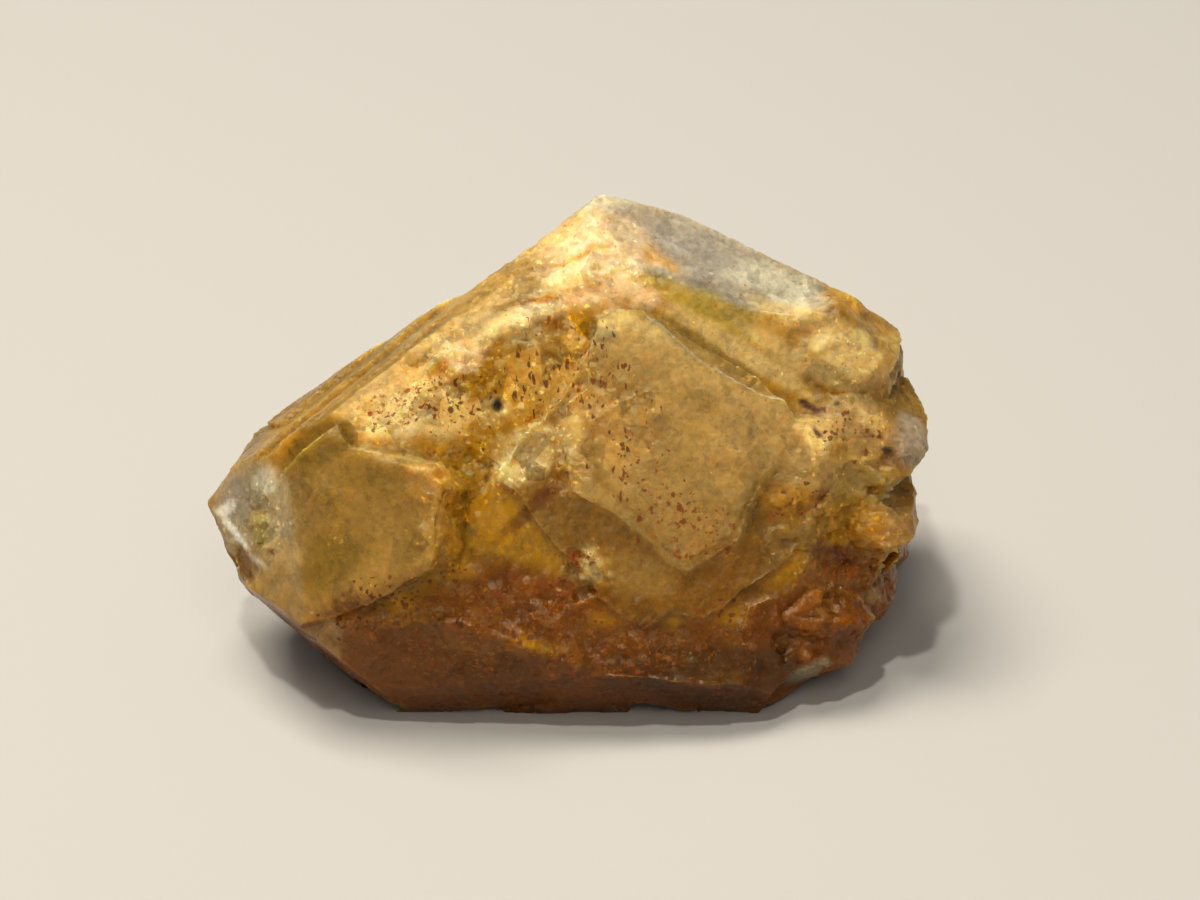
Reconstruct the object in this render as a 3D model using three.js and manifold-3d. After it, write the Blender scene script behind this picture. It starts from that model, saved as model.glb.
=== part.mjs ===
// A rough phenakite crystal, lying on its underside: one solid, about 28 mm long.
// It is cut from a block by its crystal faces. Growth layers are raised on the faces, grooves and
// notches are cut in them, and the broken contact surface at its right end is built of lumps.
// Millimetres, +Z up, +X to the right, -Y towards the viewer.
import * as THREE from "three";
import { mergeVertices } from "three/addons/utils/BufferGeometryUtils.js";
import Module from "manifold-3d";

const wasm = await Module();
wasm.setup();

// The crystal is drawn about a point inside it, and moved at the end: its foot to z = 0 and the
// middle of its length and depth to x = 0 and y = 0.
const FOOT = -0.9;
const BLOCK = 60;
const LAYER_ROOT = 2.2;
const CUT_REACH = 4;

// The faces that bound the crystal. turn: degrees round the vertical, 0 towards the viewer and 90
// to the right. rise: degrees above the horizontal. at: a point that the face passes through.
const FACES = {
  window: { turn: -25, rise: 30, at: [-9.15, -1.4, 10.4] },
  main: { turn: 11, rise: 32, at: [2.5, -5.05, 3.35] },
  lowFront: { turn: -5, rise: 26, at: [-2.7, -5.6, 4.95] },
  roughLeft: { turn: -20, rise: 54, at: [-4.52, 1.19, 13.5] },
  crown: { turn: -6, rise: 60, at: [2.63, 1.4, 14.3] },
  longLeft: { turn: -108.6, rise: 51.4, at: [-9.15, -1.4, 10.76] },
  paleTop: { turn: 35, rise: 61.3, at: [4.56, 2.68, 14.5] },
  peak: { turn: 152, rise: 59, at: [1.08, 5.3, 16.8] },
  shoulder: { turn: 27, rise: 51.6, at: [2.63, 1.4, 14.3] },
  belly: { turn: -4, rise: -3, at: [0, -6.1, 4] },
  underFront: { turn: 0, rise: -33, at: [0, -5.8, 1.5] },
  tipClear: { turn: -48, rise: 19, at: [-11.3, -1.7, 8.7] },
  tipGolden: { turn: -38, rise: 2, at: [-10.7, -3.8, 5.9] },
  tipTop: { turn: -106, rise: 32, at: [-13.2, 1.5, 6.9] },
  tipBack: { turn: -84, rise: -23, at: [-13.4, 0, 4.11] },
  heelLeft: { turn: -52, rise: -36, at: [-10.3, -5.3, 3.8] },
  underLeft: { turn: -62, rise: -46, at: [-9.55, -1.5, -0.37] },
  backLeft: { turn: -142, rise: 35, at: [-10.5, 3.55, 8.5] },
  backRight: { turn: 148, rise: 38, at: [6.1, 5.04, 15.07] },
  backWall: { turn: 178, rise: -6, at: [0, 10.2, 7] },
  backLeftWall: { turn: -142, rise: -10, at: [-9.4, 5.6, 4] },
  backHeel: { turn: 172, rise: -40, at: [0, 9.0, 1.6] },
  backLeftHeel: { turn: -128, rise: -44, at: [-9.2, 4.6, 1.2] },
  rightEnd: { turn: 84, rise: 4, at: [12.6, 0, 7] },
  rightShoulder: { turn: 75, rise: 36, at: [11.7, 1.0, 11.0] },
  rightHeel: { turn: 60, rise: -32, at: [11.0, -2.0, 2.6] },
  rightFront: { turn: 33, rise: 17, at: [8.8, -1.0, 9.85] },
  foot: { turn: 0, rise: -90, at: [0, 0, FOOT] },
};

// Growth layers. outline: points on the face, millimetres across it and up its slope from the
// face's own point. lift: how far the layer stands above the face. over: other faces it covers.
const LAYERS = [
  {
    name: "smoky window",
    face: "window",
    over: ["lowFront", "main", "tipGolden"],
    lift: 0.36,
    outline: [
      [-1.6, -2.5], [-0.9, -1.4], [0.3, 0], [1.1, -0.7], [3.0, -0.6], [4.7, -0.6], [5.6, -1.3],
      [5.4, -2.5], [5.7, -3.6], [5.4, -4.5], [2.4, -6.9], [-0.8, -8.4], [-3.2, -6.4], [-2.4, -4.2],
    ],
  },
  {
    name: "second layer",
    face: "main",
    lift: 0.55,
    outline: [
      [-4.8, 6.2], [-4.1, 5.8], [-3.5, 4.6], [-2.7, 3.4], [-2.0, 2.8], [-2.0, 1.7], [-1.2, 1.2],
      [-0.6, 0.6], [0, 0.1], [0.8, 0.2], [1.3, 0.6], [2.4, 0.1], [3.3, 0.4], [4.2, 1.1],
      [6.1, 2.1], [7.1, 3.5], [7.4, 6.6], [5.7, 9.1], [1.3, 12.2], [-0.3, 11.5], [-2.1, 9.0],
      [-3.8, 7.7],
    ],
  },
  {
    name: "main layer",
    face: "main",
    lift: 1.0,
    outline: [
      [-0.3, 12.0], [0.5, 12.3], [1.4, 12.2], [3.4, 10.6], [5.0, 9.3], [6.6, 8.2], [7.1, 7.1],
      [6.8, 6.2], [5.6, 5.3], [4.8, 4.3], [4.2, 2.9], [3.2, 2.5], [2.1, 2.0], [1.4, 2.3],
      [0.9, 3.2], [-0.6, 4.6], [-2.0, 5.5], [-2.3, 7.1], [-1.8, 8.9], [-1.0, 9.4], [-0.8, 10.8],
    ],
  },
  {
    name: "inner rhomb",
    face: "main",
    lift: 1.18,
    outline: [
      [-1.1, 8.1], [0.3, 8.8], [1.3, 9.1], [2.8, 8.8], [5.4, 7.3], [6.5, 6.6], [6.2, 6.0],
      [4.8, 4.9], [3.9, 3.1], [2.1, 2.5], [1.3, 3.0], [0.1, 4.8], [-1.0, 5.9],
    ],
  },
  {
    name: "tongue",
    face: "main",
    lift: 0.7,
    outline: [
      [4.4, 0.5], [5.2, 0.7], [6.3, 0.8], [7.1, 0.3], [7.1, -0.4], [6.6, -1.1], [5.9, -1.5],
      [4.9, -1.6], [4.2, -1.2], [4.0, -0.4],
    ],
  },
  {
    name: "upper bright block",
    face: "roughLeft",
    lift: 0.5,
    outline: [[0.1, -1.1], [1.6, -1.4], [2.3, -2.3], [2.1, -3.5], [0.9, -3.6], [-0.3, -2.4]],
  },
  {
    name: "lower bright block",
    face: "roughLeft",
    lift: 0.55,
    outline: [
      [2.2, -3.5], [3.7, -2.8], [5.2, -2.5], [5.8, -2.8], [6.0, -4.4], [7.3, -5.7], [5.8, -6.4],
      [4.9, -6.7], [3.8, -5.6], [2.7, -4.7],
    ],
  },
  {
    name: "crown step",
    face: "crown",
    lift: 0.28,
    outline: [[-6.5, -1.2], [-3.4, -0.2], [-1.0, -0.9], [0.3, -0.4], [0.4, 3.5], [-2.5, 4.2], [-6.4, 1.4]],
  },
  {
    name: "crown upper step",
    face: "crown",
    lift: 0.5,
    outline: [[-5.0, 0.9], [-3.2, 1.0], [-1.9, 1.9], [-0.2, 2.2], [0.1, 4.6], [-2.3, 4.8]],
  },
  {
    name: "shoulder lower ridge",
    face: "shoulder",
    lift: 0.4,
    outline: [
      [0.5, 0.1], [2.2, -0.8], [4.0, -2.5], [6.2, -4.8], [6.9, -6.3], [6.3, -6.5], [4.1, -4.3],
      [1.6, -1.9],
    ],
  },
  {
    name: "shoulder upper ridge",
    face: "shoulder",
    lift: 0.32,
    outline: [[2.4, -0.3], [4.4, -1.6], [6.6, -2.6], [8.2, -4.2], [8.2, -5.3], [6.6, -3.8], [4.1, -2.1]],
  },
  {
    name: "long face ridge",
    face: "longLeft",
    lift: 0.13,
    outline: [[0.9, -2.0], [-3.2, 2.5], [-6.9, 5.8], [-7.5, 5.2], [-3.6, 1.7], [0.3, -2.6]],
  },
  {
    name: "long face layer",
    face: "longLeft",
    lift: 0.25,
    outline: [
      [1.1, -4.5], [-2.6, -0.2], [-5.0, 1.6], [-8.8, 5.4], [-11.3, 2.8], [-7.8, -0.4], [-1.4, -7.1],
    ],
  },
  {
    name: "long face inner layer",
    face: "longLeft",
    lift: 0.45,
    outline: [[-1.5, -3.3], [-5.2, 0.4], [-8.4, 3.9], [-9.6, 2.8], [-6.2, -1.0], [-2.7, -4.6]],
  },
  {
    name: "back left layer",
    face: "backLeft",
    lift: 0.5,
    outline: [[-9, -6], [-3.5, -6.5], [-1.2, -3.8], [-2.4, -2.2], [-5.2, -0.6], [-6.4, 2.5], [-10, 2.5]],
  },
  {
    name: "back right layer",
    face: "backRight",
    lift: 0.55,
    outline: [
      [-3.0, -10], [0.2, -9.5], [2.0, -7.0], [1.5, -5.0], [3.6, -3.4], [2.8, -1.4], [0, -3.2],
      [-2.0, -5.6], [-4.5, -8.6],
    ],
  },
  {
    name: "back right inner layer",
    face: "backRight",
    lift: 0.95,
    outline: [
      [-1.6, -8.6], [0.3, -8.3], [0.9, -6.6], [0.4, -4.9], [1.9, -3.6], [1.2, -2.9], [-0.6, -4.6],
      [-2.0, -6.7],
    ],
  },
  {
    name: "back wall layer",
    face: "backWall",
    lift: 0.5,
    outline: [[-8, -6], [-2.4, -5.2], [0.6, -2.6], [3.8, -3.4], [6.2, -0.4], [5.2, 3.6], [-9, 3]],
  },
];

// Places cut down below a face, drawn in the same way. drop: how far below the face the cut goes.
const NOTCHES = [
  {
    name: "shadowed groove beside the shoulder",
    face: "shoulder",
    drop: 0.45,
    outline: [[-0.2, 0.1], [0.3, 0], [2.0, -2.0], [4.1, -4.5], [4.3, -5.3], [3.4, -4.9], [1.4, -2.8]],
  },
  {
    name: "dent in the long face",
    face: "longLeft",
    drop: 0.4,
    outline: [[3.0, 0.4], [4.4, 0.2], [5.0, 1.0], [4.2, 1.7], [3.2, 1.4]],
  },
  {
    name: "broken step on the second layer",
    face: "main",
    drop: 0.25,
    outline: [[-2.4, 2.9], [-1.7, 2.5], [-1.4, 1.5], [-2.2, 1.2], [-2.9, 1.9]],
  },
];

// Lumps of the contact surface: middle, half sizes, and a number that varies the shape.
const LUMPS = [
  { name: "orange knob", at: [9.6, 3.2, 12.3], size: [1.5, 1.9, 1.3], seed: 1 },
  { name: "upper lump", at: [10.3, 3.0, 10.8], size: [2.1, 2.6, 2.1], seed: 2 },
  { name: "ear", at: [11.2, 2.0, 8.2], size: [2.6, 3.0, 2.2], seed: 3 },
  { name: "middle lump", at: [10.7, 1.4, 5.3], size: [2.9, 3.2, 2.2], seed: 4 },
  { name: "lower lump", at: [9.8, 0.2, 2.6], size: [2.7, 3.2, 2.3], seed: 5 },
  { name: "dark lump", at: [8.6, -1.6, 1.7], size: [2.8, 2.9, 2.3], seed: 6 },
  { name: "heel lump", at: [7.6, -2.6, 0.6], size: [2.4, 2.0, 1.6], seed: 7 },
  { name: "pink lump", at: [8.9, -0.9, 6.3], size: [1.7, 1.7, 2.1], seed: 8 },
  { name: "front knot", at: [8.6, -0.4, 8.6], size: [1.9, 1.3, 1.6], seed: 9 },
  { name: "rear upper lump", at: [10.0, 5.4, 9.4], size: [2.6, 3.0, 2.5], seed: 10 },
  { name: "rear middle lump", at: [10.2, 5.2, 5.6], size: [2.7, 3.2, 2.6], seed: 11 },
  { name: "rear lower lump", at: [9.4, 4.2, 2.2], size: [3.0, 3.4, 2.4], seed: 12 },
  { name: "rear corner lump", at: [7.9, 7.2, 5.2], size: [3.0, 2.7, 3.6], seed: 13 },
  { name: "rear heel lump", at: [6.9, 6.4, 1.6], size: [3.0, 2.7, 2.3], seed: 14 },
];

// Shell-shaped chips and hollows.
const CHIPS = [
  { name: "gap under the ear", at: [14.1, 0.4, 6.5], size: [1.2, 2.4, 0.5], seed: 21 },
  { name: "gap over the ear", at: [13.4, 1.4, 10.0], size: [1.1, 2.4, 0.5], seed: 22 },
  { name: "gap over the lower lump", at: [13.3, -0.6, 3.7], size: [1.2, 2.4, 0.5], seed: 23 },
  { name: "dark crack", at: [10.4, -3.9, 3.4], size: [1.5, 0.7, 0.28], seed: 24 },
  { name: "pit beside the main layer", at: [8.5, -3.3, 6.3], size: [0.9, 0.8, 0.9], seed: 25 },
  { name: "raised edge of the foot", at: [3.3, -5.0, -1.0], size: [1.9, 1.6, 0.7], seed: 26 },
  { name: "chip on the tip", at: [-12.6, -2.6, 4.6], size: [1.1, 0.45, 0.6], seed: 27 },
  { name: "chip under the back", at: [-3.5, 9.9, 1.2], size: [3.0, 1.3, 1.5], seed: 28 },
  { name: "chip behind the peak", at: [3.4, 8.2, 14.6], size: [1.6, 1.1, 1.3], seed: 29 },
  { name: "chip under the left", at: [-7.6, -3.6, -0.6], size: [1.5, 1.2, 0.7], seed: 31 },
  { name: "chip on the foot", at: [-2.2, 6.6, -1.3], size: [3.2, 1.6, 0.9], seed: 32 },
  { name: "hollow in the back", at: [3.6, 11.0, 5.6], size: [2.4, 1.3, 2.2], seed: 30 },
];
const LUMP_DETAIL = 2;
const LUMP_ROUGHNESS = 0.26;

const radians = THREE.MathUtils.degToRad;

// A face's own axes: x across it, y up its slope, z out of the crystal.
function faceMatrix({ turn, rise, at }) {
  const [sinTurn, cosTurn] = [Math.sin(radians(turn)), Math.cos(radians(turn))];
  const [sinRise, cosRise] = [Math.sin(radians(rise)), Math.cos(radians(rise))];
  const across = new THREE.Vector3(cosTurn, sinTurn, 0);
  const outward = new THREE.Vector3(sinTurn * cosRise, -cosTurn * cosRise, sinRise);
  const upSlope = outward.clone().cross(across);
  return new THREE.Matrix4().makeBasis(across, upSlope, outward).setPosition(...at);
}

function solidFrom(geometry) {
  const bare = geometry.clone();
  bare.deleteAttribute("normal");
  bare.deleteAttribute("uv");
  const merged = mergeVertices(bare, 1e-4);
  return new wasm.Manifold(
    new wasm.Mesh({
      numProp: 3,
      vertProperties: new Float32Array(merged.attributes.position.array),
      triVerts: new Uint32Array(merged.index.array),
    }),
  );
}

function geometryFrom(solid) {
  const { vertProperties, triVerts } = solid.getMesh();
  const geometry = new THREE.BufferGeometry();
  geometry.setAttribute("position", new THREE.BufferAttribute(vertProperties, 3));
  geometry.setIndex(new THREE.BufferAttribute(triVerts, 1));
  geometry.computeVertexNormals();
  return geometry;
}

// All that lies outside a face, as one block.
function outside(face) {
  const block = new THREE.BoxGeometry(BLOCK, BLOCK, BLOCK).translate(0, 0, BLOCK / 2);
  return solidFrom(block.applyMatrix4(faceMatrix(face)));
}

// The crystal as its faces bound it, without the faces named.
function core(...leftOut) {
  let solid = solidFrom(new THREE.BoxGeometry(BLOCK, BLOCK, BLOCK));
  for (const [name, face] of Object.entries(FACES)) {
    if (!leftOut.includes(name)) solid = solid.subtract(outside(face));
  }
  return solid;
}

// A slab with a drawn outline, from one height above a face to another.
function slab({ face, outline }, from, to) {
  const shape = new THREE.Shape(outline.map(([x, y]) => new THREE.Vector2(x, y)));
  const geometry = new THREE.ExtrudeGeometry(shape, { depth: to - from, bevelEnabled: false });
  return solidFrom(geometry.translate(0, 0, from).applyMatrix4(faceMatrix(FACES[face])));
}

// A rounded, uneven lump. Waves of three directions push its surface in and out.
function lump({ at, size, seed }) {
  const geometry = new THREE.IcosahedronGeometry(1, LUMP_DETAIL);
  const points = geometry.attributes.position;
  const point = new THREE.Vector3();
  for (let i = 0; i < points.count; i += 1) {
    point.fromBufferAttribute(points, i);
    const wave =
      Math.sin(3.1 * point.x + 2.3 * point.z + 1.7 * seed) +
      Math.sin(4.3 * point.y - 2.9 * point.x + 2.9 * seed) +
      Math.sin(6.7 * point.z + 3.7 * point.y + 4.1 * seed);
    point.multiplyScalar(1 + (LUMP_ROUGHNESS * wave) / 3);
    points.setXYZ(i, point.x, point.y, point.z);
  }
  return solidFrom(geometry.scale(...size).rotateZ(seed).translate(...at));
}

function crystal() {
  let solid = core();
  for (const layer of LAYERS) {
    const room = core(layer.face, ...(layer.over ?? []));
    solid = solid.add(slab(layer, -LAYER_ROOT, layer.lift).intersect(room));
  }
  for (const notch of NOTCHES) solid = solid.subtract(slab(notch, -notch.drop, CUT_REACH));
  for (const piece of LUMPS) solid = solid.add(lump(piece));
  for (const chip of CHIPS) solid = solid.subtract(lump(chip));
  return solid.subtract(outside(FACES.foot));
}

const geometry = geometryFrom(crystal());
geometry.computeBoundingBox();
const middle = geometry.boundingBox.getCenter(new THREE.Vector3());
geometry.translate(-middle.x, -middle.y, -FOOT);

const mesh = new THREE.Mesh(
  geometry,
  new THREE.MeshStandardMaterial({ color: 0xc79a4a, roughness: 0.35, metalness: 0 }),
);
mesh.name = "phenakite_crystal";
const group = new THREE.Group();
group.add(mesh);
export default group;
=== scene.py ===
"""A rough phenakite crystal, resting on its underside in soft studio light.

The crystal's solid is copied, given a fine skin, and then worked over as a mineral carver would:
growth steps, ridges and broken blocks are cut face by face, its colours and rust are laid on by
place, with some painted highlights, reflections, glints and shade among the colours, and one
translucent golden finish is put over all of it.

Surface work is done in millimetres in the crystal's drawing frame. The scene's own units are metres.
"""

from __future__ import annotations

import logging
import math
from dataclasses import dataclass, field
from enum import Enum, IntEnum

import bpy
import numpy as np
from mathutils import Matrix, Vector

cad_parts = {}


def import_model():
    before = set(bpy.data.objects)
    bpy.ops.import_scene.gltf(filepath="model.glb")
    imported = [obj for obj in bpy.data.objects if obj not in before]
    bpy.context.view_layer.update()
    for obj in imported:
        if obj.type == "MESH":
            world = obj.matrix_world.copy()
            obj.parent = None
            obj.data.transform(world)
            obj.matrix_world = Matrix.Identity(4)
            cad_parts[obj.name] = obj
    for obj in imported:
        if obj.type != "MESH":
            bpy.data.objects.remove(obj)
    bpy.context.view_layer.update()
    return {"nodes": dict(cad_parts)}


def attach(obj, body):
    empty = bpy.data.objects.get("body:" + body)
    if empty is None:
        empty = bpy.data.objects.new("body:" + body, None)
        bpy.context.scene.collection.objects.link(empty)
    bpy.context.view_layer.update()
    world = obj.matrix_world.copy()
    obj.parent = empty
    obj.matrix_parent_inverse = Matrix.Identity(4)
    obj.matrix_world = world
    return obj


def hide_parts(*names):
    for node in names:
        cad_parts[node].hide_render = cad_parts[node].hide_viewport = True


LOG = logging.getLogger("phenakite")

MM = 0.001
NODE = "phenakite_crystal"
BODY = "root"

# The crystal is drawn about a point inside it. This is that point in the crystal's own frame, in mm.
DRAWING_POINT = np.array((0.175, -2.452, 0.900))
FOOT_HEIGHT = -0.9


def linear(code: str) -> tuple[float, float, float]:
    """Turns a colour written as six hexadecimal digits into linear red, green and blue.

    Args:
        code: The colour, such as "C89A55".

    Returns:
        Three numbers from 0 to 1.
    """
    parts = [int(code[i : i + 2], 16) / 255 for i in (0, 2, 4)]
    return tuple(c / 12.92 if c <= 0.04045 else ((c + 0.055) / 1.055) ** 2.4 for c in parts)


def ease(share: np.ndarray) -> np.ndarray:
    """Makes an even rise from 0 to 1 start and end gently."""
    return share * share * (3.0 - 2.0 * share)


def smooth(low: float, high: float, value: np.ndarray) -> np.ndarray:
    """Rises smoothly from 0 at low to 1 at high, or falls where low is the greater.

    Args:
        low: Where the result is 0.
        high: Where the result is 1.
        value: The numbers to judge.

    Returns:
        A number from 0 to 1 for each value.
    """
    return ease(np.clip((value - low) / (high - low), 0.0, 1.0))


def lay_over(under: np.ndarray, over: np.ndarray, share: np.ndarray) -> np.ndarray:
    """Lays one colour or place over another, row by row.

    Args:
        under: What lies below.
        over: What is laid over it.
        share: How thickly it is laid on each row, from 0 to 1.

    Returns:
        The two, mixed.
    """
    share = share[:, None]
    return under * (1.0 - share) + over * share


class Tone(Enum):
    """The crystal's colours, each a surface colour in daylight. Some are laid on in places as painted
    highlight, reflection or shade.
    """

    # White used only for painted reflections along the tip's edges.
    FROST = "F6F0E0"
    ICE = "CCC5A8"
    PALE_GREY = "9E9686"
    CREAM = "F2D29A"
    STRAW = "DBC17C"
    GOLD = "C9A455"
    SAND = "C4A160"
    TAN = "B28E4A"
    HONEY = "9C7834"
    OCHRE = "C8942A"
    OLIVE = "A8953C"
    MOSS = "B09A1E"
    SMOKE = "7A5E1A"
    MIST = "A6946C"
    BAND = "74602E"
    BROWN_GOLD = "AE7C04"
    DEEP_HONEY = "7E5206"
    AMBER = "703C04"
    DARK_AMBER = "6A3804"
    DEEP_AMBER = "4A2602"
    CLAY = "9C7A48"
    ASH = "86806A"
    ORANGE = "A87410"
    RUST = "6A2408"
    RED_RUST = "9A280A"
    DARK_RED = "4A1408"
    BLACK = "0B0A08"

    def linear(self) -> np.ndarray:
        """The tone as linear red, green and blue."""
        return np.array(linear(self.value))


class Seed(IntEnum):
    """Which random pattern the first spot of each list follows. Each next spot takes the next one."""

    TINTS = 100
    RUST = 200
    RUST_STREAKS = 264
    BROKEN_GROUND = 300
    WORN = 400


class Grain:
    """Seeded, repeatable unevenness in space. Points and sizes are in millimetres."""

    CELL_STIR = np.array((374761393, 668265263, 1440662683))
    SEED_STIR = 1274126177
    WORD = 0xFFFFFFFF
    RESULT = 0xFFFFFF
    TILT_SEED = 10
    LEVEL_SEED = 20

    @staticmethod
    def chance(cell: np.ndarray, seed: int) -> np.ndarray:
        """Gives each whole-numbered cell an even random number from 0 to 1.

        Args:
            cell: Whole numbers, three to a row.
            seed: Which of the many patterns to use.

        Returns:
            One number for each row.
        """
        mixed = (cell @ Grain.CELL_STIR + seed * Grain.SEED_STIR) & Grain.WORD
        mixed = ((mixed ^ (mixed >> 13)) * Grain.SEED_STIR) & Grain.WORD
        mixed = mixed ^ (mixed >> 16)
        return (mixed & Grain.RESULT) / float(Grain.RESULT)

    @staticmethod
    def chances(cell: np.ndarray, seed: int) -> np.ndarray:
        """Gives each whole-numbered cell three even random numbers from 0 to 1."""
        return np.stack([Grain.chance(cell, seed + k) for k in range(3)], axis=1)

    @staticmethod
    def waves(points: np.ndarray, size: float, seed: int) -> np.ndarray:
        """Smooth random waves.

        Args:
            points: Places, three numbers to a row.
            size: The distance from one hump to the next.
            seed: Which of the many patterns to use.

        Returns:
            A number from -1 to 1 for each point.
        """
        scaled = points / size
        corner = np.floor(scaled).astype(np.int64)
        along = ease(scaled - corner)
        total = np.zeros(len(points))
        for step in np.ndindex(2, 2, 2):
            share = np.prod(np.where(np.array(step) == 1, along, 1.0 - along), axis=1)
            total += share * Grain.chance(corner + np.array(step), seed)
        return 2.0 * total - 1.0

    @staticmethod
    def blocks(points: np.ndarray, size: float, seed: int) -> tuple[np.ndarray, np.ndarray]:
        """Parts space into irregular blocks and finds the block of each point.

        Args:
            points: Places, three numbers to a row.
            size: The usual width of a block.
            seed: Which of the many patterns to use.

        Returns:
            Each point's offset from its block's middle, and its block's whole-numbered cell.
        """
        scaled = points / size
        home = np.floor(scaled).astype(np.int64)
        nearest = np.full(len(points), np.inf)
        offset = np.zeros_like(scaled)
        owner = np.zeros_like(home)
        for step in np.ndindex(3, 3, 3):
            cell = home + np.array(step) - 1
            delta = scaled - (cell + Grain.chances(cell, seed))
            distance = (delta**2).sum(axis=1)
            closer = distance < nearest
            nearest[closer] = distance[closer]
            offset[closer] = delta[closer]
            owner[closer] = cell[closer]
        return offset * size, owner

    @staticmethod
    def broken(points: np.ndarray, size: float, seed: int) -> np.ndarray:
        """The relief of a broken crystal surface: small flat facets, each tilted its own way.

        Args:
            points: Places, three numbers to a row.
            size: The usual width of a facet.
            seed: Which of the many patterns to use.

        Returns:
            A height from about -1 to 1 for each point.
        """
        offset, owner = Grain.blocks(points, size, seed)
        tilt = Grain.chances(owner, seed + Grain.TILT_SEED) - 0.5
        level = Grain.chance(owner, seed + Grain.LEVEL_SEED) - 0.5
        return 2.0 * (offset * tilt).sum(axis=1) / size + level


@dataclass(frozen=True)
class Relief:
    """One size of unevenness, in millimetres: its width, its height, and the pattern it follows."""

    width: float
    height: float
    seed: int

    def waves(self, points: np.ndarray) -> np.ndarray:
        """Smooth waves of this size: a height at each point."""
        return self.height * Grain.waves(points, self.width, self.seed)

    def facets(self, points: np.ndarray) -> np.ndarray:
        """Small tilted facets of this size: a height at each point."""
        return self.height * Grain.broken(points, self.width, self.seed)


@dataclass(frozen=True)
class Plane:
    """A flat crystal face: how it is turned round the vertical, how it rises, and a point on it."""

    turn: float
    rise: float
    at: tuple[float, float, float]

    def axes(self) -> tuple[np.ndarray, np.ndarray, np.ndarray]:
        """The directions across the face, up its slope, and out of it."""
        turn, rise = math.radians(self.turn), math.radians(self.rise)
        across = np.array((math.cos(turn), math.sin(turn), 0.0))
        outward = np.array(
            (math.sin(turn) * math.cos(rise), -math.cos(turn) * math.cos(rise), math.sin(rise))
        )
        return across, np.cross(outward, across), outward

    def place(self, points: np.ndarray) -> tuple[np.ndarray, np.ndarray, np.ndarray]:
        """Gives each point its distance across the face, up its slope, and above it."""
        across, up_slope, outward = self.axes()
        offset = points - np.array(self.at)
        return offset @ across, offset @ up_slope, offset @ outward

    def lines(self, points: np.ndarray, lean: float, squeeze: float) -> np.ndarray:
        """Places each point among long lines that run over the face.

        Args:
            points: The points.
            lean: The lines' direction on the face, in degrees up from across it.
            squeeze: What distances along the lines are multiplied by, so that patterns become long.

        Returns:
            The distance across the lines, the squeezed distance along them, and 0, for each point.
        """
        across, up_slope, _ = self.place(points)
        turn = math.radians(lean)
        aside = up_slope * math.cos(turn) - across * math.sin(turn)
        along = across * math.cos(turn) + up_slope * math.sin(turn)
        return np.stack([aside, along * squeeze, np.zeros(len(aside))], axis=1)


class CrystalFace(Enum):
    """The crystal's faces, as they are cut in its solid."""

    WINDOW = Plane(-25, 30, (-9.15, -1.4, 10.4))
    MAIN = Plane(11, 32, (2.5, -5.05, 3.35))
    LOW_FRONT = Plane(-5, 26, (-2.7, -5.6, 4.95))
    ROUGH_LEFT = Plane(-20, 54, (-4.52, 1.19, 13.5))
    CROWN = Plane(-6, 60, (2.63, 1.4, 14.3))
    LONG_LEFT = Plane(-108.6, 51.4, (-9.15, -1.4, 10.76))
    PALE_TOP = Plane(35, 61.3, (4.56, 2.68, 14.5))
    SHOULDER = Plane(27, 51.6, (2.63, 1.4, 14.3))
    TIP_CLEAR = Plane(-48, 19, (-11.3, -1.7, 8.7))
    TIP_GOLDEN = Plane(-38, 2, (-10.7, -3.8, 5.9))
    BACK_LEFT = Plane(-142, 35, (-10.5, 3.55, 8.5))
    BACK_RIGHT = Plane(148, 38, (6.1, 5.04, 15.07))
    BACK_WALL = Plane(178, -6, (0, 10.2, 7))


@dataclass(frozen=True)
class PhotoView:
    """The camera's place, and how a point of its 1200 by 900 picture falls on the crystal."""

    elevation: float = 30.0
    lens: float = 120.0
    sensor: float = 36.0
    width: int = 1200
    height: int = 900
    target: tuple[float, float, float] = (1.08, 0.0, 8.4)
    distance: float = 154.4

    def axes(self) -> tuple[np.ndarray, np.ndarray, np.ndarray]:
        """The picture's right, its up, and the direction from the crystal to the camera."""
        lift = math.radians(self.elevation)
        right = np.array((1.0, 0.0, 0.0))
        up = np.array((0.0, math.sin(lift), math.cos(lift)))
        return right, up, np.array((0.0, -math.cos(lift), math.sin(lift)))

    def eye(self) -> np.ndarray:
        """The camera's place in the drawing frame, in millimetres."""
        return np.array(self.target) + self.axes()[2] * self.distance

    def ray(self, px: float, py: float) -> np.ndarray:
        """The direction in which the camera sees a point of the picture.

        Args:
            px: The point's distance from the picture's left, in pixels.
            py: Its distance from the picture's top, in pixels.

        Returns:
            A direction of length 1.
        """
        right, up, towards = self.axes()
        reach = self.lens / self.sensor * self.width
        ray = right * (px - self.width / 2) / reach - up * (py - self.height / 2) / reach - towards
        return ray / np.linalg.norm(ray)


@dataclass(frozen=True)
class Spot:
    """A soft-edged place on the crystal, found by a point of the camera's picture.

    Attributes:
        px: The middle's distance from the picture's left, in pixels.
        py: The middle's distance from the picture's top, in pixels.
        wide: Half its length, in millimetres.
        high: Half its width, in millimetres.
        lean: How its length is turned from the level, in degrees, rising to the right.
        strength: How much of its change it makes at its middle, from 0 to 1.
        tone: The colour it brings, where it brings one.
    """

    px: float
    py: float
    wide: float
    high: float
    lean: float = 0.0
    strength: float = 0.8
    tone: Tone = Tone.TAN


@dataclass(frozen=True)
class Plate:
    """The colour of one growth plate, or of a whole crystal face where its lift is 0.

    Attributes:
        face: The face that the plate lies on.
        lift: How far the plate's top stands off the face, in millimetres.
        tone: Its colour.
        strength: How much of that colour it takes, from 0 to 1.
        reach: How far from its top a point may lie, in millimetres.
    """

    face: CrystalFace
    lift: float
    tone: Tone
    strength: float = 0.85
    reach: float = 0.12


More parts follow.
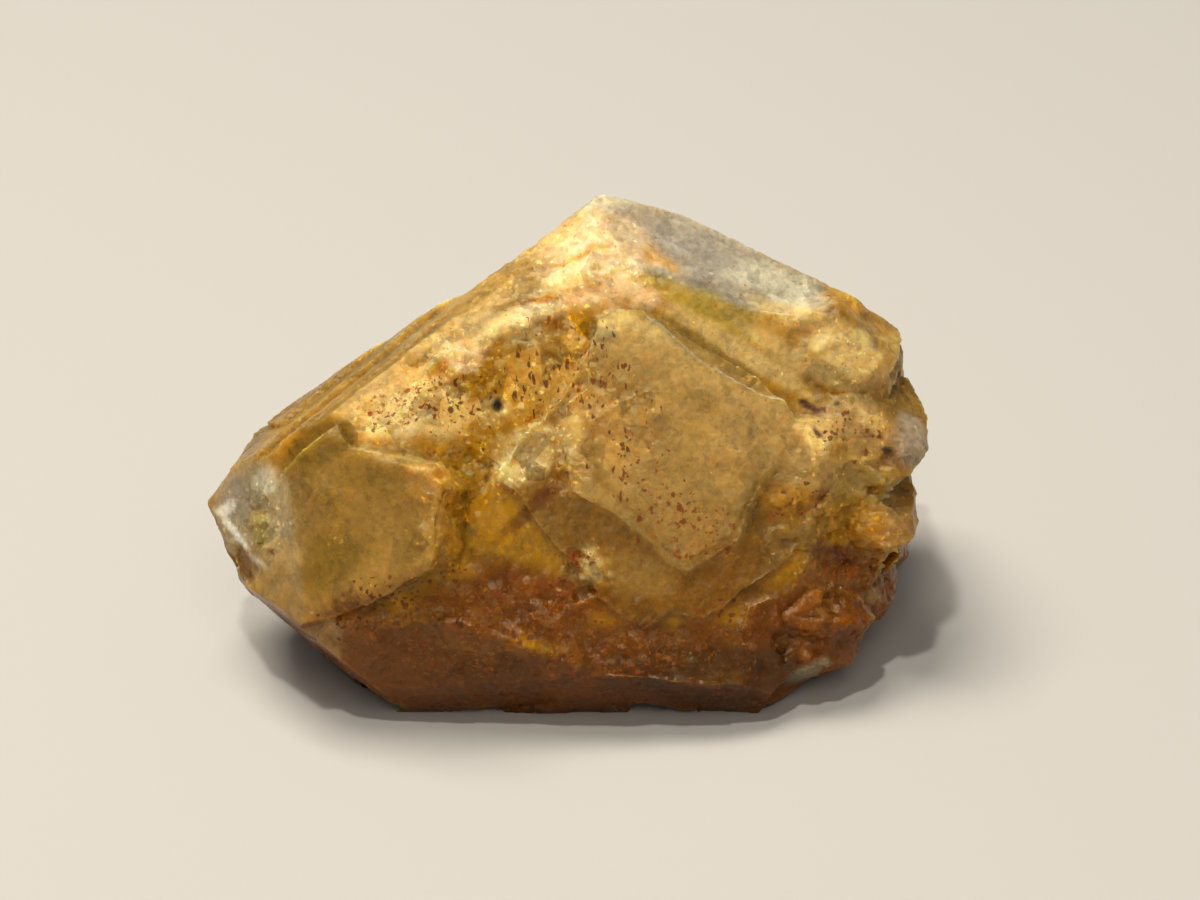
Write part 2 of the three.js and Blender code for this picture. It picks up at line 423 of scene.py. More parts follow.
PLATES = (
    Plate(CrystalFace.LOW_FRONT, 0.0, Tone.BROWN_GOLD, 0.9),
    Plate(CrystalFace.MAIN, 0.0, Tone.BROWN_GOLD, 0.9),
    Plate(CrystalFace.MAIN, 0.55, Tone.DEEP_HONEY, 0.8),
    Plate(CrystalFace.MAIN, 0.7, Tone.DARK_AMBER, 0.8),
    Plate(CrystalFace.MAIN, 1.0, Tone.TAN, 0.9),
    Plate(CrystalFace.MAIN, 1.18, Tone.TAN, 0.9),
    Plate(CrystalFace.WINDOW, 0.0, Tone.BROWN_GOLD, 0.8),
    Plate(CrystalFace.WINDOW, 0.36, Tone.HONEY, 0.8),
    Plate(CrystalFace.ROUGH_LEFT, 0.0, Tone.GOLD, 0.9, 0.3),
    Plate(CrystalFace.ROUGH_LEFT, 0.5, Tone.STRAW, 0.8),
    Plate(CrystalFace.ROUGH_LEFT, 0.55, Tone.GOLD, 0.6),
    Plate(CrystalFace.CROWN, 0.0, Tone.STRAW, 0.9, 0.6),
    # The crown's cream top plate: partly its own tone, partly a painted highlight.
    Plate(CrystalFace.CROWN, 0.5, Tone.CREAM, 0.7),
    Plate(CrystalFace.LONG_LEFT, 0.2, Tone.BAND, 0.8, 0.7),
    Plate(CrystalFace.SHOULDER, 0.1, Tone.STRAW, 0.9, 0.6),
    # The pale top's grey: partly its own tone, partly a painted reflection of the bright surroundings.
    Plate(CrystalFace.PALE_TOP, 0.0, Tone.PALE_GREY, 0.9, 0.3),
    Plate(CrystalFace.TIP_CLEAR, 0.0, Tone.MIST, 0.85, 0.3),
    Plate(CrystalFace.TIP_GOLDEN, 0.0, Tone.TAN, 0.8, 0.3),
    Plate(CrystalFace.BACK_LEFT, 0.2, Tone.SAND, 0.9, 0.5),
    Plate(CrystalFace.BACK_RIGHT, 0.3, Tone.STRAW, 0.8, 0.8),
    Plate(CrystalFace.BACK_WALL, 0.2, Tone.GOLD, 0.8, 0.5),
)

TINTS = (
    # The crown: cream, partly its own pale tone and partly a painted highlight where the light from above
    # falls on it, stained orange along its edges.
    Spot(585, 245, 2.6, 2.0, 0, 0.8, Tone.CREAM),
    Spot(602, 202, 1.6, 0.4, 0, 0.8, Tone.ICE),
    Spot(660, 257, 0.9, 0.45, -30, 0.7, Tone.OCHRE),
    Spot(570, 287, 1.4, 0.4, 10, 0.5, Tone.GOLD),
    Spot(495, 268, 2.6, 0.7, 38, 0.65, Tone.GOLD),
    Spot(552, 238, 1.8, 0.4, 40, 0.5, Tone.GOLD),
    Spot(640, 292, 1.0, 0.5, -30, 0.7, Tone.CREAM),
    # The pale top face: its pale grey partly the face's own tone, partly a painted reflection of the bright
    # surroundings.
    Spot(705, 240, 3.0, 1.3, -22, 0.9, Tone.PALE_GREY),
    Spot(775, 282, 2.0, 0.8, -25, 0.8, Tone.ICE),
    # The olive shoulder and its streaks.
    Spot(700, 300, 2.8, 0.5, -20, 0.6, Tone.OLIVE),
    Spot(722, 340, 2.4, 0.5, -30, 0.6, Tone.STRAW),
    Spot(720, 320, 2.2, 0.25, -28, 0.4, Tone.MOSS),
    Spot(805, 318, 2.6, 0.45, -18, 0.6, Tone.STRAW),
    Spot(778, 372, 1.6, 0.5, -33, 0.6, Tone.STRAW),
    Spot(790, 355, 2.8, 0.4, -30, 0.6, Tone.STRAW),
    Spot(850, 350, 1.8, 1.0, -30, 0.8, Tone.STRAW),
    Spot(500, 292, 2.2, 1.0, 35, 0.5, Tone.HONEY),
    Spot(850, 300, 1.0, 0.6, 0, 0.85, Tone.OCHRE),
    # A thin painted shadow along the riser below the shoulder.
    Spot(710, 347, 3.2, 0.22, -33, 0.75, Tone.SMOKE),
    # The main front plates.
    Spot(650, 345, 1.9, 1.4, 0, 0.5, Tone.TAN),
    Spot(645, 430, 1.6, 1.4, 0, 0.35, Tone.TAN),
    Spot(760, 430, 1.6, 1.4, -35, 0.45, Tone.SAND),
    Spot(690, 520, 2.0, 1.2, 0, 0.3, Tone.HONEY),
    Spot(640, 590, 2.4, 0.9, 0, 0.75, Tone.DEEP_HONEY),
    Spot(735, 590, 1.6, 0.8, 30, 0.7, Tone.DEEP_HONEY),
    Spot(595, 565, 0.5, 0.8, 10, 0.7, Tone.STRAW),
    Spot(635, 575, 1.6, 0.9, -20, 0.6, Tone.HONEY),
    Spot(785, 625, 1.3, 1.0, 0, 0.75, Tone.DARK_AMBER),
    Spot(528, 512, 0.3, 1.9, -48, 0.75, Tone.DARK_AMBER),
    # The rough zone and the valley below it.
    Spot(460, 355, 0.9, 0.6, -20, 0.8, Tone.CREAM),
    Spot(540, 308, 1.3, 0.6, 20, 0.7, Tone.CREAM),
    Spot(530, 335, 0.9, 0.5, 0, 0.5, Tone.STRAW),
    Spot(510, 465, 0.8, 0.35, -30, 0.7, Tone.STRAW),
    Spot(490, 410, 0.9, 0.6, 0, 0.45, Tone.STRAW),
    Spot(572, 430, 0.6, 0.9, 0, 0.5, Tone.STRAW),
    Spot(545, 370, 1.9, 1.6, 0, 0.4, Tone.GOLD),
    Spot(470, 485, 1.1, 2.4, 10, 0.8, Tone.BROWN_GOLD),
    Spot(475, 540, 1.4, 1.0, 0, 0.7, Tone.BROWN_GOLD),
    Spot(400, 415, 1.8, 0.9, 20, 0.85, Tone.STRAW),
    Spot(435, 405, 1.4, 1.2, 0, 0.75, Tone.STRAW),
    Spot(530, 450, 1.6, 1.0, 30, 0.5, Tone.STRAW),
    # The smoky window.
    Spot(318, 445, 1.7, 0.9, 30, 0.8, Tone.SMOKE),
    Spot(380, 470, 1.8, 1.0, 0, 0.4, Tone.SMOKE),
    Spot(365, 570, 1.8, 0.6, 25, 0.5, Tone.HONEY),
    Spot(330, 560, 1.8, 1.0, 30, 0.75, Tone.SMOKE),
    Spot(400, 530, 1.2, 1.0, 0, 0.4, Tone.HONEY),
    # The tip, with painted reflections: thin white lines along its edges.
    Spot(236, 500, 0.8, 1.2, 0, 0.5, Tone.PALE_GREY),
    Spot(234, 532, 0.16, 1.3, 45, 0.8, Tone.FROST),
    Spot(226, 508, 0.5, 0.25, 30, 0.7, Tone.FROST),
    Spot(262, 565, 0.8, 0.14, -32, 0.6, Tone.FROST),
    Spot(265, 479, 0.7, 0.5, 45, 0.7, Tone.ICE),
    Spot(262, 530, 0.5, 0.8, 0, 0.5, Tone.OLIVE),
    Spot(268, 588, 1.2, 1.0, -30, 0.8, Tone.HONEY),
    Spot(300, 605, 1.2, 0.6, -30, 0.7, Tone.HONEY),
    # The dark belly: its own iron-stained amber, darkened further as painted shade, darkest near the floor.
    Spot(380, 640, 2.6, 1.4, -30, 0.8, Tone.AMBER),
    Spot(500, 605, 3.6, 1.5, 0, 0.9, Tone.AMBER),
    Spot(560, 680, 4.5, 1.2, 0, 0.8, Tone.DARK_AMBER),
    Spot(550, 622, 1.8, 0.8, 0, 0.8, Tone.DARK_AMBER),
    Spot(560, 600, 2.4, 0.9, 0, 0.7, Tone.AMBER),
    Spot(500, 572, 1.6, 0.6, -30, 0.6, Tone.AMBER),
    Spot(640, 638, 3.6, 0.7, 0, 0.85, Tone.DARK_AMBER),
    Spot(740, 642, 2.4, 0.9, 0, 0.8, Tone.DARK_AMBER),
    Spot(700, 662, 4.0, 0.7, 0, 0.8, Tone.DEEP_AMBER),
    Spot(780, 600, 1.6, 0.8, 0, 0.6, Tone.DARK_AMBER),
    Spot(720, 680, 4.0, 1.2, 0, 0.85, Tone.DEEP_AMBER),
    Spot(640, 655, 1.8, 0.8, 0, 0.6, Tone.DARK_AMBER),
    # The broken right end.
    Spot(792, 500, 1.2, 0.7, -20, 0.75, Tone.ORANGE),
    Spot(865, 478, 1.3, 1.1, 0, 0.8, Tone.GOLD),
    Spot(845, 520, 1.4, 0.9, 0, 0.6, Tone.BROWN_GOLD),
    Spot(815, 465, 1.2, 1.0, 0, 0.6, Tone.SAND),
    # Darker lower down: the end's own amber with painted shade of its underside.
    Spot(840, 560, 1.3, 0.6, -20, 0.8, Tone.DARK_AMBER),
    Spot(860, 605, 1.3, 0.9, 0, 0.8, Tone.DARK_AMBER),
    Spot(872, 596, 0.5, 0.3, 0, 0.5, Tone.CLAY),
    Spot(845, 640, 1.4, 0.7, 0, 0.75, Tone.DARK_AMBER),
    Spot(808, 672, 0.9, 0.4, 30, 0.7, Tone.ASH),
    Spot(915, 440, 0.9, 1.2, 0, 0.7, Tone.PALE_GREY),
    Spot(905, 520, 0.9, 1.1, 0, 0.6, Tone.CLAY),
    Spot(825, 415, 1.2, 0.8, 0, 0.5, Tone.SAND),
    Spot(862, 425, 1.3, 1.0, -20, 0.7, Tone.SAND),
    Spot(885, 375, 1.1, 0.9, 0, 0.7, Tone.SAND),
    Spot(895, 350, 0.7, 0.9, 0, 0.5, Tone.GOLD),
)

RUST = (
    Spot(410, 600, 2.6, 1.0, 10, 1.0),
    Spot(520, 610, 3.2, 1.4, 0, 1.0),
    Spot(690, 525, 2.2, 1.5, 0, 0.85),
    Spot(400, 405, 1.6, 0.9, 25, 1.0),
    Spot(460, 430, 1.3, 1.4, 0, 0.7),
    Spot(730, 620, 1.4, 0.8, 0, 1.0),
    Spot(790, 500, 1.2, 0.8, 0, 0.8),
    Spot(850, 570, 1.8, 0.8, 0, 1.0),
    Spot(850, 430, 1.8, 1.2, 0, 0.5),
    Spot(580, 560, 0.8, 0.5, 0, 0.9),
    Spot(620, 650, 3.6, 1.0, 0, 0.6),
    Spot(440, 655, 2.6, 0.9, 0, 0.6),
    Spot(350, 630, 1.4, 0.8, 0, 0.5),
    Spot(650, 470, 1.6, 1.2, 0, 0.4),
)

RUST_STREAKS = (
    Spot(560, 365, 2.4, 1.9, 0, 1.0),
    Spot(470, 390, 1.2, 0.8, 0, 0.8),
    Spot(620, 440, 1.6, 2.4, 0, 0.35),
)

WORN = (
    Spot(446, 505, 0.8, 2.2, 0, 0.8),
    Spot(400, 452, 1.6, 0.5, -5, 0.6),
    Spot(530, 250, 2.2, 1.2, 25, 1.0),
    Spot(498, 285, 2.2, 1.2, 15, 1.0),
    Spot(620, 270, 1.6, 1.2, 0, 0.7),
    Spot(850, 435, 1.9, 2.2, 0, 1.0),
    Spot(860, 350, 1.4, 1.2, 0, 0.8),
    Spot(840, 500, 1.6, 1.2, 0, 1.0),
    Spot(243, 566, 0.8, 0.7, 0, 1.0),
    Spot(835, 590, 1.6, 1.4, 0, 0.6),
    Spot(700, 555, 2.6, 0.9, 0, 0.5),
    Spot(625, 510, 2.6, 0.6, -45, 0.4),
    Spot(755, 500, 2.4, 0.8, 50, 0.6),
    Spot(660, 615, 3.4, 0.6, 0, 0.5),
    Spot(577, 585, 0.9, 0.8, 0, 1.0),
)

FLAKES = (
    Spot(498, 405, 0.22, 0.3, 0, 1.0, Tone.BLACK),
    Spot(808, 406, 0.42, 0.16, -35, 0.95, Tone.DARK_RED),
    Spot(817, 413, 0.3, 0.14, 30, 0.9, Tone.RUST),
    Spot(823, 430, 0.32, 0.16, -60, 0.95, Tone.DARK_RED),
    Spot(838, 403, 0.12, 0.1, 0, 0.9, Tone.BLACK),
    Spot(889, 450, 0.22, 0.14, 0, 0.9, Tone.BLACK),
    Spot(880, 437, 0.14, 0.12, 0, 0.9, Tone.DARK_RED),
    Spot(272, 551, 0.22, 0.1, -10, 0.9, Tone.DARK_RED),
    Spot(460, 622, 0.2, 0.14, 0, 0.9, Tone.BLACK),
    Spot(410, 582, 0.16, 0.12, 0, 0.9, Tone.BLACK),
    Spot(487, 479, 0.14, 0.2, 0, 0.8, Tone.DARK_RED),
    Spot(708, 361, 0.16, 0.1, 0, 0.9, Tone.RED_RUST),
    Spot(842, 556, 0.7, 0.3, -20, 0.7, Tone.DARK_RED),
    Spot(573, 558, 0.3, 0.25, 0, 0.7, Tone.RED_RUST),
)

BROKEN_GROUND = (
    Spot(460, 370, 2.6, 1.8, 20, 1.0),
    Spot(560, 350, 2.2, 1.8, 0, 0.7),
    Spot(450, 500, 1.6, 2.4, 0, 0.6),
    Spot(520, 600, 3.6, 1.4, 0, 0.45),
    Spot(620, 420, 1.6, 2.6, 0, 0.35),
    Spot(530, 265, 2.8, 1.2, 35, 0.6),
    Spot(400, 410, 2.0, 1.0, 30, 0.9),
    Spot(520, 430, 2.0, 2.4, 0, 0.95),
    Spot(572, 450, 0.8, 2.0, 0, 0.8),
    Spot(600, 275, 3.0, 1.6, 0, 0.45),
    Spot(595, 565, 1.0, 1.0, 0, 0.9),
    Spot(880, 380, 2.4, 2.8, 0, 0.3),
    Spot(860, 560, 2.6, 5.0, 0, 0.55),
    Spot(260, 510, 1.4, 1.4, 0, 0.7),
    Spot(800, 650, 2.0, 1.0, 0, 0.7),
    Spot(560, 660, 5.0, 1.2, 0, 0.4),
    Spot(380, 620, 2.4, 1.2, -20, 0.4),
)


@dataclass(frozen=True)
class Chip:
    """A chip or lump of the hidden sides, which the skin shows as shallow, broken ground.

    Attributes:
        middle: Its middle.
        reach: How far its ground reaches from there, in millimetres.
        faces: The faces that it was struck from.
        tone: The colour of its ground.
        fill: How much of its depth is taken away, from 0 to 1.
    """

    middle: tuple[float, float, float]
    reach: float
    faces: tuple[CrystalFace, ...] = ()
    tone: Tone = Tone.GOLD
    fill: float = 0.8


CHIPS = (
    Chip((3.6, 10.4, 5.6), 2.8, (CrystalFace.BACK_WALL,)),
    Chip((3.4, 8.0, 14.4), 2.2, (CrystalFace.BACK_RIGHT, CrystalFace.PALE_TOP), Tone.SAND),
    Chip((6.9, 8.8, 1.2), 2.6, tone=Tone.HONEY),
)


@dataclass(frozen=True)
class Lines:
    """Long, parallel growth lines on a face.

    Attributes:
        face: The face.
        lean: Their direction on the face, in degrees up from across it.
        spacing: The distance from one line to the next, in millimetres.
        height: How high they stand, in millimetres. At 0 they are only lighter and darker.
        seed: Which pattern makes them uneven.
    """

    face: CrystalFace
    lean: float
    spacing: float
    height: float
    seed: int


RIDGES = (
    Lines(CrystalFace.SHOULDER, -45, 0.75, 0.12, 21),
    Lines(CrystalFace.PALE_TOP, -30, 1.6, 0.035, 23),
    Lines(CrystalFace.LONG_LEFT, 135, 0.9, 0.035, 25),
    Lines(CrystalFace.CROWN, 40, 0.5, 0.07, 27),
    Lines(CrystalFace.BACK_RIGHT, 35, 1.2, 0.07, 29),
    Lines(CrystalFace.BACK_LEFT, -20, 1.7, 0.035, 31),
)

STREAKS = (
    Lines(CrystalFace.SHOULDER, -45, 0.3, 0.0, 31),
    Lines(CrystalFace.CROWN, 40, 0.3, 0.0, 33),
    Lines(CrystalFace.LONG_LEFT, 135, 0.3, 0.0, 35),
)


@dataclass
class CrystalSkin:
    """The crystal's fine surface as numbers, in millimetres.

    Attributes:
        piece: The crystal.
        view: The camera that the spots are seen from.
        facing: How squarely a point has to face the way its face does, from not at all to fully.
        soft_edge: The share of its reach at which a face or a chip's ground begins to fade.
        chip_ground: How broken the ground of a chip is, from 0 to 1.
        spot_edge: Where a spot's edge ends and begins, as shares of its half size.
        spot_depth: How deep a spot reaches, as a share of its greater half size.
        spot_fray: How ragged a spot's edge is, as a share of its half size.
        fray_width: The width of the edge's ragged humps, as a share of the lesser half size.
        least_fray: What is added to that width.
        points: The places of the surface's points.
        normals: The directions that they face.
    """

    piece: bpy.types.Object
    view: PhotoView
    facing: tuple[float, float] = (0.90, 0.97)
    soft_edge: float = 0.7
    chip_ground: float = 0.7
    spot_edge: tuple[float, float] = (1.25, 0.6)
    spot_depth: float = 1.6
    spot_fray: float = 0.28
    fray_width: float = 0.8
    least_fray: float = 0.2
    points: np.ndarray = field(init=False)
    normals: np.ndarray = field(init=False)

    def __post_init__(self) -> None:
        """Reads the points and their directions from the piece's mesh."""
        mesh = self.piece.data
        count = len(mesh.vertices)
        flat = np.empty(count * 3, dtype=np.float32)
        mesh.vertices.foreach_get("co", flat)
        self.points = flat.reshape(-1, 3).astype(float) / MM - DRAWING_POINT
        mesh.vertex_normals.foreach_get("vector", flat)
        self.normals = flat.reshape(-1, 3).astype(float)

    def spread(self, values: np.ndarray, times: int) -> np.ndarray:
        """Blends each point's values with its neighbours', to soften the borders between them.

        Args:
            values: One row for each point.
            times: How often to blend.

        Returns:
            The softened values.
        """
        ends = np.empty(len(self.piece.data.edges) * 2, dtype=np.int64)
        self.piece.data.edges.foreach_get("vertices", ends)
        first, second = ends[0::2], ends[1::2]
        count = np.bincount(ends, minlength=len(self.points))
        rows = values.reshape(len(values), -1)
        for _ in range(times):
            columns = []
            for column in rows.T:
                total = np.bincount(first, column[second], len(column))
                total += np.bincount(second, column[first], len(column))
                columns.append(0.5 * column + 0.5 * total / np.maximum(count, 1))
            rows = np.stack(columns, axis=1)
        return rows.reshape(values.shape)

    def write(self) -> None:
        """Puts the moved points back into the mesh."""
        mesh = self.piece.data
        flat = ((self.points + DRAWING_POINT) * MM).astype(np.float32).ravel()
        mesh.vertices.foreach_set("co", flat)
        mesh.update()

    def push(self, height: np.ndarray) -> None:
        """Moves each point out along its direction by its height."""
        self.points += self.normals * height[:, None]

    def on_face(self, face: CrystalFace, reach: float = 1.3, lift: float = 0.0) -> np.ndarray:
        """How surely each point belongs to a crystal face.

        Args:
            face: The face.
            reach: How far from the plane its points may lie.
            lift: How far the plane is moved out from the face.

        Returns:
            A number from 0 to 1 for each point.
        """
        plane = face.value
        facing = self.normals @ plane.axes()[2]
        off_plane = np.abs(plane.place(self.points)[2] - lift)
        return smooth(*self.facing, facing) * smooth(reach, reach * self.soft_edge, off_plane)

    def in_spot(self, spot: Spot, seed: int) -> np.ndarray:
        """How much of a spot each point takes.

        Args:
            spot: The spot.
            seed: Which pattern frays the spot's edge.

        Returns:
            A number from 0 to the spot's strength for each point.
        """
        eye = self.view.eye()
        start = Vector((eye + DRAWING_POINT) * MM)
        found, place, _, _ = self.piece.ray_cast(start, Vector(self.view.ray(spot.px, spot.py)))
        if not found:
            raise ValueError(f"the spot at {spot.px}, {spot.py} misses the crystal")
        offset = self.points - (np.array(place) / MM - DRAWING_POINT)
        right, up, towards = self.view.axes()
        lean = math.radians(spot.lean)
        level, upright, depth = offset @ right, offset @ up, offset @ towards
        along = (level * math.cos(lean) + upright * math.sin(lean)) / spot.wide
        aside = (upright * math.cos(lean) - level * math.sin(lean)) / spot.high
        deep = depth / (self.spot_depth * max(spot.wide, spot.high))
        hump = self.fray_width * min(spot.wide, spot.high) + self.least_fray
        ragged = self.spot_fray * Grain.waves(self.points, hump, seed)
        away = np.sqrt(along**2 + aside**2 + deep**2) + ragged
        return spot.strength * smooth(*self.spot_edge, away)

    def most(self, spots: tuple[Spot, ...], seed: int) -> np.ndarray:
        """The strongest of several spots at each point.

        Args:
            spots: The spots.
            seed: Which pattern frays the first one's edge. The next one takes the next pattern.

        Returns:
            A number from 0 to 1 for each point.
        """
        total = np.zeros(len(self.points))
        for index, spot in enumerate(spots):
            total = np.maximum(total, self.in_spot(spot, seed + index))
        return total

    def near(self, chip: Chip) -> np.ndarray:
        """How near each point lies to a chip: 1 at its middle, 0 beyond its reach."""
        away = np.linalg.norm(self.points - np.array(chip.middle), axis=1)
        return smooth(chip.reach, self.soft_edge * chip.reach, away)

    def broken_ground(self) -> np.ndarray:
        """Where the surface is broken: as seen in front, and at the chips of the hidden sides."""
        ground = self.most(BROKEN_GROUND, Seed.BROKEN_GROUND)
        for chip in CHIPS:
            ground = np.maximum(ground, self.chip_ground * self.near(chip))
        return ground


@dataclass
class Carving:
    """The relief that grows on and breaks into the crystal's faces, in millimetres.

    Where a value is a pair that ends in fade, it says where something begins and where it is full.

    Attributes:
        skin: The surface to carve.
        swell: How high the long, low waves are that take the flatness off every face.
        swells: Those waves, with their shares of that height.
        hillock_step: The height of one growth step of the nested rhombs.
        hillock_width: The width of one step.
        hillock_steps: How many steps there are at most.
        hillock_middle: The rhombs' middle, across their face and up its slope.
        hillock_reach: How far from the face the rhombs' plates may stand.
        hillock_fray: What makes the steps' edges wander.
        rhomb_sides: The directions that the rhombs' sides face.
        ridge_squeeze: What distances along growth ridges are multiplied by.
        ridge_drift: The humps that make ridges wander, and how far, as a share of their spacing.
        ridge_fade_width: The distance over which ridges come and go.
        shards: The facets that a broken surface is made of.
        shard_warp: What bends the borders between them.
        belly_height: The height of the belly's broad facets.
        belly_facets: Those facets, with their shares of that height.
        belly_fade: How steep a wall has to be for them.
        etching: The low facets that lie on everything.
        riser_share: How broken the edges of growth plates are, from 0 to 1.
        riser_fade: How far upwards such an edge has to face.
        riser_softness: How often its border is blended.
        plate_drop: The share of their height by which the main plates are lowered.
        plate_height: The greatest height that counts as a plate.
        plate_fade: The heights between which a lump of the right end is no longer a plate.
        plate_sides: The main plates' bounds across the face: two fades.
        plate_ends: Their bounds up its slope: two fades.
        foot_fade: How far above the foot the wear begins.
        shard_fade: How far above the foot the surface may be broken.
        edge_wear: How often every edge is blended.
        heal: How often a worn place is blended.
    """

    skin: CrystalSkin
    swell: float = 0.05
    swells: tuple[Relief, ...] = (Relief(3.4, 0.7, 1), Relief(1.1, 0.3, 2))
    hillock_step: float = 0.018
    hillock_width: float = 1.3
    hillock_steps: float = 5.0
    hillock_middle: tuple[float, float] = (2.6, 6.3)
    hillock_reach: float = 1.9
    hillock_fray: tuple[Relief, ...] = (Relief(2.1, 0.9, 5), Relief(0.5, 0.12, 6))
    rhomb_sides: tuple[tuple[float, float], ...] = ((0.87, 0.5), (-0.68, 0.73))
    ridge_squeeze: float = 0.16
    ridge_drift: tuple[float, float] = (1.4, 0.8)
    ridge_fade_width: float = 0.9
    shards: tuple[Relief, ...] = (
        Relief(1.3, 0.11, 11),
        Relief(0.75, 0.1, 12),
        Relief(0.42, 0.09, 13),
    )
    shard_warp: Relief = Relief(0.6, 0.15, 40)
    belly_height: float = 0.1
    belly_facets: tuple[Relief, ...] = (Relief(3.2, 1.0, 17), Relief(1.3, 0.35, 18))
    belly_fade: tuple[float, float] = (0.42, 0.2)
    etching: Relief = Relief(0.9, 0.025, 35)
    riser_share: float = 0.3
    riser_fade: tuple[float, float] = (-0.1, 0.2)
    riser_softness: int = 3
    plate_drop: float = 0.7
    plate_height: float = 1.25
    plate_fade: tuple[float, float] = (2.2, 1.6)
    plate_sides: tuple[tuple[float, float], ...] = ((-6.0, -5.0), (8.0, 7.0))
    plate_ends: tuple[tuple[float, float], ...] = ((-2.6, -1.8), (13.4, 12.4))
    foot_fade: tuple[float, float] = (0.05, 0.5)
    shard_fade: tuple[float, float] = (0.0, 0.35)
    edge_wear: int = 1
    heal: int = 90

    def above_foot(self, fade: tuple[float, float]) -> np.ndarray:
        """How far above the resting foot each point is, by a fade in millimetres: 0 to 1."""
        return smooth(*fade, self.skin.points[:, 2] - FOOT_HEIGHT)

    def swell_all(self) -> None:
        """Takes the flatness off every face with long, low waves."""
        wave = sum(relief.waves(self.skin.points) for relief in self.swells)
        self.skin.push(self.swell * wave)

    def hillocks(self) -> None:
        """Cuts nested rhombs of growth steps on the main front plates."""
        across, up_slope, _ = CrystalFace.MAIN.value.place(self.skin.points)
        across = across - self.hillock_middle[0]
        up_slope = up_slope - self.hillock_middle[1]
        first, second = (np.abs(x * across + y * up_slope) for x, y in self.rhomb_sides)
        fray = sum(relief.waves(self.skin.points) for relief in self.hillock_fray)
        steps = np.floor((np.maximum(first, second) + fray) / self.hillock_width)
        share = self.skin.on_face(CrystalFace.MAIN, self.hillock_reach)
        self.skin.push(-self.hillock_step * np.minimum(steps, self.hillock_steps) * share)

    def raise_ridges(self, ridges: Lines) -> None:
        """Raises long parallel ridges on a face."""
        flat = ridges.face.value.lines(self.skin.points, ridges.lean, self.ridge_squeeze)
        hump, wander = self.ridge_drift
        phase = flat[:, 0] / ridges.spacing + wander * Grain.waves(flat, hump, ridges.seed)
        saw = phase - np.floor(phase)
        fade = 0.5 + 0.5 * Grain.waves(flat, self.ridge_fade_width, ridges.seed + 1)
        self.skin.push(ridges.height * (saw - 0.5) * fade * self.skin.on_face(ridges.face))

    def shatter(self, share: np.ndarray) -> None:
        """Breaks the surface into small tilted facets, where share says so."""
        points, warp = self.skin.points, self.shard_warp
        shift = np.stack([Grain.waves(points, warp.width, warp.seed + k) for k in range(3)], axis=1)
        bent = points + warp.height * shift
        self.skin.push(sum(relief.facets(bent) for relief in self.shards) * share)

    def belly(self) -> None:
        """Lays broad, low facets over the steep dark belly and the hidden walls."""
        steep = smooth(*self.belly_fade, self.skin.normals[:, 2])
        relief = sum(facets.facets(self.skin.points) for facets in self.belly_facets)
        self.skin.push(self.belly_height * relief * steep)

    def wear(self) -> None:
        """Rounds the sharp edges a little, and heals the worn places."""
        worn = self.skin.spread(self.skin.points, self.edge_wear)
        self.skin.points = lay_over(self.skin.points, worn, self.above_foot(self.foot_fade))
        healed = self.skin.most(WORN, Seed.WORN)
        flowed = self.skin.spread(self.skin.points, self.heal)
        self.skin.points = lay_over(self.skin.points, flowed, healed)

    def risers(self) -> np.ndarray:
        """The steep edges of the growth plates, where no flat plate or face lies."""
        flat = np.zeros(len(self.skin.points))
        for plate in PLATES:
            flat = np.maximum(flat, self.skin.on_face(plate.face, plate.reach, plate.lift))
        upward = smooth(*self.riser_fade, self.skin.normals[:, 2])
        return self.skin.spread((1.0 - flat) * upward, self.riser_softness)

    def settle_plates(self) -> None:
        """Brings the main front plates nearer to the face that they grew on, as low steps."""
        plane = CrystalFace.MAIN.value
        across, up_slope, height = plane.place(self.skin.points)
        inside = 1.0
        for place, fades in ((across, self.plate_sides), (up_slope, self.plate_ends)):
            for fade in fades:
                inside = inside * smooth(*fade, place)
        proud = np.clip(height, 0.0, self.plate_height) * smooth(*self.plate_fade, height)
        outward = plane.axes()[2]
        self.skin.points -= (self.plate_drop * proud * inside)[:, None] * outward

    def fill_chips(self) -> None:
        """Makes the chips of the hidden sides shallow, towards the faces that they were struck from."""
        for chip in CHIPS:
            if not chip.faces:
                continue
            heights = np.stack([face.value.place(self.skin.points)[2] for face in chip.faces], axis=1)
            nearest = heights.argmax(axis=1)
            outward = np.stack([face.value.axes()[2] for face in chip.faces])[nearest]
            depth = np.maximum(-heights.max(axis=1), 0.0)
            self.skin.points += (chip.fill * depth * self.skin.near(chip))[:, None] * outward

    def keep_foot(self) -> None:
        """Keeps every point on or above the foot's plane, and the foot flat."""
        self.skin.points[:, 2] = np.maximum(self.skin.points[:, 2], FOOT_HEIGHT)

    def carve(self) -> None:
        """Cuts all the relief, in the order in which it would have grown and broken."""
        above_foot = self.above_foot(self.shard_fade)
        ground = np.maximum(self.skin.broken_ground(), self.riser_share * self.risers())
        self.settle_plates()
        self.fill_chips()
        self.wear()
        self.swell_all()
        self.skin.push(self.etching.facets(self.skin.points))
        self.hillocks()
        for ridges in RIDGES:
            self.raise_ridges(ridges)
        self.belly()
        self.shatter(ground * above_foot)
        self.keep_foot()
        self.skin.write()


